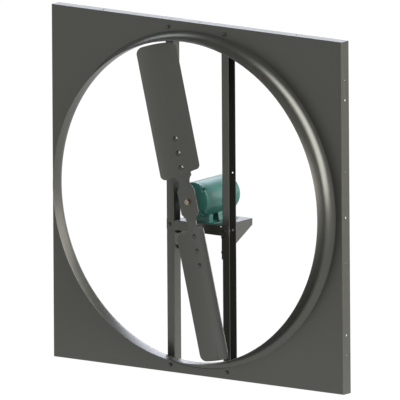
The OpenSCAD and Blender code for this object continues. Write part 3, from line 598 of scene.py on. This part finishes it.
# Mesh tools


def shade(mesh, crease):
    """Shades a mesh smooth, but for edges that turn by more than the crease."""
    mesh.polygons.foreach_set("use_smooth", [True] * len(mesh.polygons))
    mesh.set_sharp_from_angle(angle=math.radians(crease))


def add_piece(name, mesh, slot, node, crease):
    """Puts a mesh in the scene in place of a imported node, with the finish of one slot."""
    piece = bpy.data.objects.new(name, mesh)
    bpy.context.scene.collection.objects.link(piece)
    mesh.materials.clear()
    mesh.materials.append(finish(slot))
    shade(mesh, crease)
    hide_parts(node)
    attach(piece, BODY_OF[node])


def mesh_from(work, name):
    """Ends a bmesh and gives its mesh."""
    mesh = bpy.data.meshes.new(name)
    work.normal_update()
    work.to_mesh(mesh)
    work.free()
    return mesh


def even_normals(mesh):
    """Gives a mesh normals that follow its large faces, so that rolled edges shade cleanly."""
    holder = bpy.data.objects.new("holder", mesh)
    bpy.context.scene.collection.objects.link(holder)
    shade(mesh, CREASE)
    weigh = holder.modifiers.new("weigh", "WEIGHTED_NORMAL")
    weigh.weight = 100
    weigh.keep_sharp = True
    weighed = holder.evaluated_get(bpy.context.evaluated_depsgraph_get())
    shown = bpy.data.meshes.new_from_object(weighed)
    bpy.data.objects.remove(holder)
    shown.name = mesh.name
    return shown


def rolled(node, roll):
    """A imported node's own surface with its hard edges rolled over, so that they catch the light."""
    work = bmesh.new()
    work.from_mesh(frame["nodes"][node].data)
    bmesh.ops.remove_doubles(work, verts=work.verts, dist=MERGE * MM)
    bmesh.ops.dissolve_limit(
        work, angle_limit=math.radians(FLAT), verts=work.verts, edges=work.edges)
    limit = math.radians(HARD_EDGE)
    hard = [edge for edge in work.edges if edge.is_manifold and edge.calc_face_angle() > limit]
    mark = work.faces.layers.float.new("rolled_edge")
    made = bmesh.ops.bevel(
        work, geom=hard, offset=roll, offset_type="OFFSET", segments=ROLL_STEPS, profile=0.5,
        affect="EDGES", clamp_overlap=True)
    for face in made["faces"]:
        face[mark] = 1.0
    return even_normals(mesh_from(work, node + "_rolled"))


def round_corners(points, radii, steps):
    """A closed outline with each corner rounded to its own radius, or left as it is at radius 0."""
    out = []
    for index, (corner, radius) in enumerate(zip(points, radii)):
        corner = Vector(corner)
        if not radius:
            out.append(corner)
            continue
        before = Vector(points[index - 1]) - corner
        after = Vector(points[(index + 1) % len(points)]) - corner
        half = before.angle(after) / 2
        reach = radius / math.tan(half)
        before.normalize()
        after.normalize()
        centre = corner + (before + after).normalized() * (radius / math.sin(half))
        start = corner + before * reach - centre
        sweep = start.angle_signed(corner + after * reach - centre)
        for step in range(steps + 1):
            turn = Matrix.Rotation(-sweep * step / steps, 2)
            out.append(centre + turn @ start)
    return out


def turned(work, profile, turns, lift=None):
    """Turns a closed outline of (radius, y) pairs about Y. lift(radius, angle) adds to a radius."""
    loops = []
    for radius, y in profile:
        points = []
        for step in range(turns):
            angle = 2 * math.pi * step / turns
            reach = radius + (lift(radius, angle) if lift else 0)
            points.append(Vector((reach * math.sin(angle), y, reach * math.cos(angle))))
        loops.append(points)
    loft(work, loops, ring=True)


def loft(work, loops, place=None, ring=False):
    """Joins closed loops of points in order, then closes both ends, or joins them into a ring."""
    place = place or Matrix.Identity(4)
    rows = [[work.verts.new(place @ point) for point in points] for points in loops]
    for a, b in zip(rows, rows[1:] + (rows[:1] if ring else [])):
        for index in range(len(a)):
            after = (index + 1) % len(a)
            work.faces.new((a[index], a[after], b[after], b[index]))
    if not ring:
        work.faces.new(rows[0])
        work.faces.new(list(reversed(rows[-1])))


def to_fan(work, turn=None):
    """Takes a mesh from millimetres round the origin to the fan's axis and the panel's face."""
    place = Matrix.Translation((0, FACE_Y, AXIS_Z)) @ Matrix.Scale(MM, 4)
    bmesh.ops.transform(work, matrix=place @ (turn or Matrix.Identity(4)), verts=work.verts)
    bmesh.ops.recalc_face_normals(work, faces=work.faces)


def build(work, name, slot, node, turn=None, crease=CREASE):
    """Puts a mesh built in millimetres in its place, as the piece that stands for a node."""
    to_fan(work, turn)
    add_piece(name, mesh_from(work, name), slot, node, crease)


def dress(name, node, roll, slot, crease=CREASE):
    """Puts a node's own surface in the scene, with its edges rolled."""
    add_piece(name, rolled(node, roll), slot, node, crease)


# How a fastener is turned so that its own Z runs along an axis of the fan
ALONG = {
    "Y": Matrix.Rotation(math.radians(-90), 4, "X"),
    "-Z": Matrix.Rotation(math.radians(180), 4, "X"),
    "X": Matrix.Rotation(math.radians(90), 4, "Y"),
    "-X": Matrix.Rotation(math.radians(-90), 4, "Y"),
}


def spot(x, y, z, along="Y"):
    """Where a fastener goes: its own Z runs along the axis given, away from its head."""
    return Matrix.Translation((x, y, z)) @ ALONG[along]


def loop(radius, height):
    """A closed loop round local Z. Radius and height are numbers, or functions of the angle."""
    points = []
    for step in range(LOOP_POINTS):
        angle = 2 * math.pi * step / LOOP_POINTS
        reach = radius(angle) if callable(radius) else radius
        rise = height(angle) if callable(height) else height
        points.append(Vector((reach * math.cos(angle), reach * math.sin(angle), rise)))
    return points


def hexagon(flats):
    """The reach of a hexagon at each angle, with a corner at zero."""
    return lambda angle: flats / 2 / math.cos(angle % (math.pi / 3) - math.pi / 6)


def crowned(flats, end, inward):
    """The two loops of a hexagon's chamfered end. inward is 1 where the body lies above it."""
    crown = flats / 2 * HEX_CROWN
    reach = hexagon(flats)
    slope = inward * CROWN_SLOPE
    return [loop(crown, end), loop(reach, lambda angle: end + slope * (reach(angle) - crown))]


def threaded(radius, start, end):
    """The loops of a screw thread from start to end, with a chamfered tip."""
    pitch = bpy.context.scene.fan_shapes.thread_pitch / MM
    loops = [loop(radius, start)]
    steps = max(2, round((end - THREAD_TIP - start) / pitch * THREAD_STEPS))
    for step in range(1, steps + 1):
        height = start + (end - THREAD_TIP - start) * step / steps

        def reach(angle):
            share = (height / pitch - angle / (2 * math.pi)) % 1
            return radius - THREAD_DEPTH * pitch * (1 - abs(2 * share - 1))

        loops.append(loop(reach, height))
    return [*loops, loop(radius * THREAD_TIP_R, end)]


def hex_bolt(work, place, radius, flats, head, length, thread):
    """A hexagon bolt: crowned head below zero, washer face, shank, and a thread at its end."""
    face = flats / 2 * WASHER_FACE
    loops = crowned(flats, -head, 1)
    loops += [loop(hexagon(flats), -HEX_END), loop(face, -WASHER_HEIGHT), loop(face, 0)]
    loops += [loop(radius, 0), *threaded(radius, length - thread, length)]
    loft(work, loops, place)


def hex_nut(work, place, bore, flats, height):
    """A hexagon nut from zero up, both ends crowned and countersunk."""
    sink = bore + NUT_SINK
    loops = [loop(bore, NUT_SINK), loop(sink, 0), *crowned(flats, 0, 1)]
    loops += [*crowned(flats, height, -1)[::-1], loop(sink, height), loop(bore, height - NUT_SINK)]
    loft(work, loops, place, ring=True)


def bolted(piece, node, size, heads, seats):
    """One group of frame bolts and one of their nuts, where the heads and the nuts sit."""
    work = bmesh.new()
    for place in heads:
        hex_bolt(work, place, BOLT_R, BOLT_FLATS, BOLT_HEAD, *size)
    build(work, piece + "_hex_bolts", "painted_fasteners", node + "_bolts")
    work = bmesh.new()
    for place in seats:
        hex_nut(work, place, BOLT_R + NUT_CLEARANCE, BOLT_FLATS, NUT_HEIGHT)
    build(work, piece + "_hex_nuts", "painted_fasteners", node + "_nuts")


# Pieces


class FAN_OT_panel(bpy.types.Operator):
    """Build the square panel with its bent flanges"""

    bl_idname = "fan.panel"
    bl_label = "Panel"

    def execute(self, context):
        edge = context.scene.fan_shapes.sheet_edge
        dress("panel_sheet", "fan_panel", edge, "painted_panel")
        return {"FINISHED"}


class FAN_OT_orifice_ring(bpy.types.Operator):
    """Spin the orifice ring: rolled lip, throat, bell mouth and flat rim"""

    bl_idname = "fan.orifice_ring"
    bl_label = "Orifice ring"

    def execute(self, context):
        shapes = context.scene.fan_shapes
        sheet = shapes.ring_sheet / MM
        throat = shapes.throat_radius / MM
        front = -shapes.throat_reach / MM
        mouth = shapes.bell_mouth / MM
        crease = shapes.rim_radius / MM
        rim_edge = corners("orifice_ring")[1].x / MM
        rim_back = RIM_FRONT_Y + sheet
        centre = throat + sheet + mouth
        centre_y = RIM_FRONT_Y - math.sqrt(mouth ** 2 - (centre - crease) ** 2)

        def flare(radius, end):
            """The arc of one side of the bell mouth, from the throat to y = end at the rim."""
            last = math.asin((end - centre_y) / radius)
            turns = [last * step / BELL_STEPS for step in range(BELL_STEPS + 1)]
            return [
                (centre - radius * math.cos(turn), centre_y + radius * math.sin(turn))
                for turn in turns]

        lip = sheet / 2
        profile = []
        for step in range(LIP_STEPS + 1):
            turn = math.pi * step / LIP_STEPS
            profile.append(
                (throat + lip - lip * math.cos(turn), front + lip - lip * math.sin(turn)))
        profile += flare(mouth, RIM_FRONT_Y)
        profile += [
            (crease + 1, RIM_FRONT_Y), (rim_edge - RIM_ROLL, RIM_FRONT_Y),
            (rim_edge, RIM_FRONT_Y + RIM_ROLL), (rim_edge, rim_back - RIM_ROLL),
            (rim_edge - RIM_ROLL, rim_back)]
        profile += flare(mouth + sheet, rim_back)[::-1]
        work = bmesh.new()
        turned(work, profile, shapes.turns)
        build(work, "ring_spinning", "painted_panel", "orifice_ring", crease=RING_CREASE)
        return {"FINISHED"}


class FAN_OT_uprights(bpy.types.Operator):
    """Build the two channel uprights behind the panel"""

    bl_idname = "fan.uprights"
    bl_label = "Uprights"

    def execute(self, context):
        edge = context.scene.fan_shapes.sheet_edge
        for side in ("left", "right"):
            dress("channel_" + side, "upright_" + side, edge, "painted_frame")
        return {"FINISHED"}


class FAN_OT_motor_shelf(bpy.types.Operator):
    """Build the shelf that carries the motor, with its lip and gussets"""

    bl_idname = "fan.motor_shelf"
    bl_label = "Motor shelf"

    def execute(self, context):
        edge = context.scene.fan_shapes.sheet_edge
        dress("shelf_sheet", "motor_shelf", edge, "painted_frame")
        return {"FINISHED"}


class FAN_OT_frame_fasteners(bpy.types.Operator):
    """Build the hexagon bolts and nuts that hold the ring, the uprights and the shelf"""

    bl_idname = "fan.frame_fasteners"
    bl_label = "Frame fasteners"

    def execute(self, context):
        rim = [(sx * FLANGE_HOLE_X, sz * RIM_BOLT_Z) for sx in (-1, 1) for sz in (-1, 1)]
        lip = [(sx * FLANGE_HOLE_X, LIP_BOLT_Z) for sx in (-1, 1)]
        web = [(side, z) for side in (-1, 1) for z in GUSSET_BOLTS_Z]
        inward = {1: "-X", -1: "X"}
        bolted(
            "panel", "panel", RIM_BOLT, [spot(x, RIM_BOLT_Y, z) for x, z in rim],
            [spot(x, FLANGE_NUT_Y, z) for x, z in rim])
        bolted(
            "lip", "lip", SHELF_BOLT, [spot(x, LIP_BOLT_Y, z) for x, z in lip],
            [spot(x, FLANGE_NUT_Y, z) for x, z in lip])
        bolted(
            "gusset", "gusset", SHELF_BOLT,
            [spot(side * GUSSET_BOLT_X, GUSSET_BOLT_Y, z, inward[side]) for side, z in web],
            [spot(side * GUSSET_NUT_X, GUSSET_BOLT_Y, z, inward[side]) for side, z in web])
        return {"FINISHED"}


class FAN_OT_motor_base(bpy.types.Operator):
    """Build the motor's base plate and saddles, and the four bolts that hold it"""

    bl_idname = "fan.motor_base"
    bl_label = "Motor base"

    def execute(self, context):
        edge = context.scene.fan_shapes.casting_edge
        dress("base_saddles", "motor_base", edge, "motor_paint")
        places = [(sx * BASE_BOLT_X, y) for sx in (-1, 1) for y in BASE_BOLTS_Y]
        bolted(
            "base", "motor_base", BASE_BOLT, [spot(x, y, BASE_BOLT_Z, "-Z") for x, y in places],
            [spot(x, y, BASE_NUT_Z, "-Z") for x, y in places])
        return {"FINISHED"}


class FAN_OT_motor_case(bpy.types.Operator):
    """Build the motor's shell with its weld seam, the two end bells and the through bolts"""

    bl_idname = "fan.motor_case"
    bl_label = "Motor case"

    def execute(self, context):
        shapes = context.scene.fan_shapes

        def seam(radius, angle):
            """A weld bead along the bottom of the shell's outside."""
            off = abs(angle - math.pi) * radius
            return SEAM_HEIGHT * math.exp(-(off / SEAM_WIDTH) ** 2) if radius > SHELL_BORE else 0

        profile = [(SHELL_R - inward, y) for inward, y in SHELL_END]
        profile += [(SHELL_R, y) for y in range(SHELL_STEP, SHELL_LENGTH, SHELL_STEP)]
        profile += [(SHELL_R - inward, SHELL_LENGTH - y) for inward, y in reversed(SHELL_END)]
        profile += [(SHELL_BORE, SHELL_LENGTH), (SHELL_BORE, 0)]
        work = bmesh.new()
        turned(work, profile, shapes.turns, seam)
        build(work, "rolled_shell", "motor_paint", "motor_shell")
        for node in ("front_end_bell", "rear_end_bell"):
            dress(node + "_casting", node, shapes.casting_edge, "motor_paint")
        work = bmesh.new()
        for quarter in (45, 135, 225, 315):
            place = Matrix.Rotation(math.radians(quarter), 4, "Y")
            place = place @ spot(0, CASE_BOLT_Y, CASE_BOLT_CIRCLE)
            hex_bolt(
                work, place, CASE_BOLT_R, CASE_BOLT_FLATS, CASE_BOLT_HEAD, CASE_BOLT_LENGTH,
                CASE_BOLT_THREAD)
        build(work, "case_bolts", "zinc", "through_bolts")
        return {"FINISHED"}


class FAN_OT_conduit_box(bpy.types.Operator):
    """Build the conduit box on the motor's side, its cover and its two screws"""

    bl_idname = "fan.conduit_box"
    bl_label = "Conduit box"

    def execute(self, context):
        shapes = context.scene.fan_shapes
        dress("conduit_body", "conduit_box", shapes.casting_edge, "motor_paint")
        dress("conduit_cover", "conduit_box_cover", shapes.sheet_edge, "motor_paint")

        def recess(angle):
            """The reach of a cross recess at each angle."""
            swing = abs((angle + math.pi / 4) % (math.pi / 2) - math.pi / 4)
            return min(
                RECESS_REACH / math.cos(swing), RECESS_HALF_WIDTH / max(math.sin(swing), 1e-6))

        work = bmesh.new()
        for y in COVER_SCREWS_Y:
            loops = [loop(lambda angle: recess(angle) * RECESS_TAPER, RECESS_FLOOR)]
            loops += [loop(recess, RECESS_TOP), *(loop(*ring) for ring in PAN_HEAD)]
            loops += [loop(COVER_SCREW_R, 0), loop(COVER_SCREW_R, COVER_SCREW_LENGTH)]
            loft(work, loops, spot(COVER_X, y, 0, "X"))
        build(work, "cover_screws", "zinc", "conduit_box_screws")
        return {"FINISHED"}


class FAN_OT_motor_inside(bpy.types.Operator):
    """Give the motor's cores, windings and bearings, the key and the set screw their finishes"""

    bl_idname = "fan.motor_inside"
    bl_label = "Motor inside"

    def execute(self, context):
        for node, slot in INSIDE_FINISHES.items():
            materials = frame["nodes"][node].data.materials
            for index in range(len(materials)):
                materials[index] = finish(slot)
        return {"FINISHED"}


class FAN_OT_hub(bpy.types.Operator):
    """Build the hub and the shaft that it sits on"""

    bl_idname = "fan.hub"
    bl_label = "Hub and shaft"

    def execute(self, context):
        edge = context.scene.fan_shapes.sheet_edge
        dress("hub_collar", "hub", edge, "hub_brass")
        dress("turned_shaft", "motor_shaft", edge, "bright_steel")
        return {"FINISHED"}


class FAN_OT_propeller(bpy.types.Operator):
    """Build the twisted spider and the two curved blades"""

    bl_idname = "fan.propeller"
    bl_label = "Propeller"

    def execute(self, context):
        half = SPIDER_SHEET / 2

        def rise(radius, run):
            """How high an arc of this radius still stands at a distance from its middle."""
            return math.sqrt(max(0, radius ** 2 - run ** 2))

        def half_width(z):
            if z <= HUB_PLATE_END - HUB_PLATE_CORNER:
                return HUB_PLATE_HALF
            if z <= HUB_PLATE_END:
                corner = rise(HUB_PLATE_CORNER, z - HUB_PLATE_END + HUB_PLATE_CORNER)
                return HUB_PLATE_HALF - HUB_PLATE_CORNER + corner
            if z <= ARM_START:
                return min(ARM_HALF, NECK_HALF + NECK_R - rise(NECK_R, z - NECK_Z))
            if z <= ARM_END - ARM_CORNER:
                return ARM_HALF
            return ARM_HALF - ARM_CORNER + rise(ARM_CORNER, z - ARM_END + ARM_CORNER)

        def eased(z, start, end):
            share = min(1, max(0, (z - start) / (end - start)))
            return share * share * (3 - 2 * share)

        flat = [0] * (SPIDER_COLUMNS - 1)
        rolls = [SPIDER_ROLL, *flat, SPIDER_ROLL, SPIDER_ROLL, *flat, SPIDER_ROLL]
        loops = []
        for z in [-z for z in reversed(SPIDER_STATIONS[1:])] + list(SPIDER_STATIONS):
            out = abs(z)
            columns = [
                half_width(out) * (2 * step / SPIDER_COLUMNS - 1)
                for step in range(SPIDER_COLUMNS + 1)]
            outline = [(x, -half) for x in columns] + [(x, half) for x in reversed(columns)]
            turn = Matrix.Rotation(math.copysign(BLADE_PITCH * eased(out, *ARM_TWIST), z), 2)
            bend = eased(out, *ARM_CAMBER) / (2 * CAMBER_R)
            points = []
            for point in round_corners(outline, rolls, SPIDER_ROLL_STEPS):
                x, y = turn @ Vector((point.x, point.y - bend * point.x ** 2))
                points.append(Vector((x, y + SPIDER_Y, z)))
            loops.append(points)
        work = bmesh.new()
        loft(work, loops)
        build(work, "spider_plate", "painted_frame", "propeller_spider", ROTOR_REST, BLADE_CREASE)
        edge = context.scene.fan_shapes.sheet_edge
        for node in ("blade_upper", "blade_lower"):
            dress(node + "_plate", node, edge, "painted_frame", BLADE_CREASE)
        return {"FINISHED"}


class FAN_OT_blade_fasteners(bpy.types.Operator):
    """Build the domed bolts and the nuts that hold the blades"""

    bl_idname = "fan.blade_fasteners"
    bl_label = "Blade fasteners"

    def execute(self, context):
        front = SPIDER_SHEET / 2 + BLADE_SHEET + DOME_SEAT
        sphere = (DOME_R ** 2 + DOME_HEIGHT ** 2) / (2 * DOME_HEIGHT)
        places = []
        for turn in (0, 180):
            swing = Matrix.Rotation(math.radians(turn), 4, "Y")
            pitch = Matrix.Translation((0, SPIDER_Y, 0)) @ Matrix.Rotation(BLADE_PITCH, 4, "Z")
            places += [swing @ pitch @ spot(0, 0, reach) for reach in BLADE_BOLTS]
        bolts = bmesh.new()
        nuts = bmesh.new()
        for place in places:
            loops = []
            for share in DOME_LOOPS:
                reach = DOME_R * share
                sag = sphere - math.sqrt(sphere ** 2 - reach ** 2)
                loops.append(loop(reach, -front - DOME_HEIGHT + sag))
            loops.append(loop(BLADE_SCREW_R, -front))
            loops += threaded(BLADE_SCREW_R, SPIDER_SHEET / 2, BLADE_SCREW_LENGTH)
            loft(bolts, loops, place)
            seat = place @ Matrix.Translation((0, 0, SPIDER_SHEET / 2))
            hex_nut(nuts, seat, BLADE_SCREW_R + NUT_CLEARANCE, BLADE_NUT_FLATS, BLADE_NUT_HEIGHT)
        build(bolts, "blade_dome_bolts", "painted_fasteners", "blade_bolts", ROTOR_REST)
        build(nuts, "blade_hex_nuts", "painted_fasteners", "blade_nuts", ROTOR_REST)
        return {"FINISHED"}


# Studio


def seen_by_eye(f):
    """1 for what the camera, a reflection or a refraction sees, 0 for diffuse light."""
    seen = f.ray("Camera")
    for kind in ("Glossy", "Transmission"):
        seen = seen.math("MAXIMUM", seen, f.ray(kind))
    return seen


def lamp(name, level, direction, spread, colour):
    """A soft sun. At level 1 a surface that faces it renders in its own colour."""
    data = bpy.data.lights.new(name, "SUN")
    data.energy = level * math.pi
    data.angle = math.radians(spread)
    data.color = colour
    sun = bpy.data.objects.new(name, data)
    sun.rotation_euler = Vector(direction).to_track_quat("Z", "Y").to_euler()
    bpy.context.scene.collection.objects.link(sun)


class FAN_OT_studio(bpy.types.Operator):
    """Set up the floor, the lamps, the world and the camera"""

    bl_idname = "fan.studio"
    bl_label = "Studio"

    def execute(self, context):
        scene = context.scene
        studio = scene.fan_studio
        scene.view_settings.view_transform = "Standard"

        world = bpy.data.worlds.new("surroundings")
        scene.world = world
        f = Finish("surroundings", world)
        sky = f.node("ShaderNodeTexCoord", out="Generated")
        height = f.node("ShaderNodeSeparateXYZ", sockets={0: sky}, out="Z")
        glossy = f.ray("Glossy")
        dim = glossy * height.above(*OVERHEAD_STEP) * (1 - studio.overhead)
        toward = f.along(sky, Vector(KEY_SIDE).normalized())
        box = glossy * toward.above(*BOX_STEP) * studio.box
        level = seen_by_eye(f) * (1 - studio.ambient) + studio.ambient - dim + box
        f.show(f.node("ShaderNodeBackground", sockets={"Color": WHITE, "Strength": level}))

        f = Finish("floor")
        plain = f.node("ShaderNodeBsdfDiffuse", sockets={"Color": FLOOR_COLOUR})
        away = f.node(
            "ShaderNodeVectorMath", {"operation": "LENGTH"}, {0: f.place()}, out="Value")
        near = f.ray("Glossy") * (1 - away.above(*NEAR_STEP)) * studio.floor
        bright = f.node(
            "ShaderNodeEmission", sockets={"Color": WHITE, "Strength": near + FLOOR_GLOW})
        f.show(f.node(
            "ShaderNodeMixShader", sockets={0: seen_by_eye(f) * FLOOR_SHARE, 1: plain, 2: bright}))
        work = bmesh.new()
        bmesh.ops.create_grid(
            work, x_segments=FLOOR_CELLS, y_segments=FLOOR_CELLS, size=FLOOR_SIZE)
        floor = bpy.data.objects.new("studio_floor", mesh_from(work, "studio_floor"))
        floor.location.z = PART_BOX[0][2] - FLOOR_GAP * MM
        floor.data.materials.append(f.data)
        scene.collection.objects.link(floor)

        for name, facts in LAMPS.items():
            lamp(name + "_lamp", getattr(studio, name), *facts)

        turn = studio.azimuth
        rise = studio.elevation
        right = Vector((math.cos(turn), math.sin(turn), 0))
        back = Vector((
            math.sin(turn) * math.cos(rise), -math.cos(turn) * math.cos(rise), math.sin(rise)))
        up = back.cross(right)
        axes = Matrix((
            right * math.cos(studio.roll) - up * math.sin(studio.roll),
            up * math.cos(studio.roll) + right * math.sin(studio.roll), back)).transposed()
        target = Vector((0, FACE_Y, AXIS_Z)) + axes @ Vector(PICTURE_SHIFT) * studio.pixel
        data = bpy.data.cameras.new("camera")
        data.type = "ORTHO"
        data.ortho_scale = PICTURE * studio.pixel
        data.clip_end = studio.distance * 10
        camera = bpy.data.objects.new("camera", data)
        camera.matrix_world = Matrix.Translation(target + back * studio.distance) @ axes.to_4x4()
        scene.collection.objects.link(camera)
        scene.camera = camera
        return {"FINISHED"}


PIECES = (
    FAN_OT_panel, FAN_OT_orifice_ring, FAN_OT_uprights, FAN_OT_motor_shelf, FAN_OT_frame_fasteners,
    FAN_OT_motor_base, FAN_OT_motor_case, FAN_OT_conduit_box, FAN_OT_motor_inside, FAN_OT_hub,
    FAN_OT_propeller, FAN_OT_blade_fasteners, FAN_OT_studio)


class FAN_PT_dressing(bpy.types.Panel):
    """Lists the fan's pieces and settings"""

    bl_idname = "FAN_PT_dressing"
    bl_label = "Direct drive fan"
    bl_space_type = "VIEW_3D"
    bl_region_type = "UI"
    bl_category = "Fan"

    def draw(self, context):
        for cls in PIECES:
            self.layout.operator(cls.bl_idname)
        for group in SETTINGS:
            settings = getattr(context.scene, group)
            for key in settings.__annotations__:
                self.layout.prop(settings, key)


SETTINGS = {"fan_paints": FanPaints, "fan_shapes": FanShapes, "fan_studio": FanStudio}
CLASSES = (*SETTINGS.values(), *PIECES, FAN_PT_dressing)


def register():
    for cls in CLASSES:
        bpy.utils.register_class(cls)
    for name, group in SETTINGS.items():
        setattr(bpy.types.Scene, name, PointerProperty(type=group))


def unregister():
    for name in SETTINGS:
        delattr(bpy.types.Scene, name)
    for cls in reversed(CLASSES):
        bpy.utils.unregister_class(cls)


def main():
    register()
    for cls in PIECES:
        family, piece = cls.bl_idname.split(".")
        getattr(getattr(bpy.ops, family), piece)()


if __name__ == "__main__":
    main()
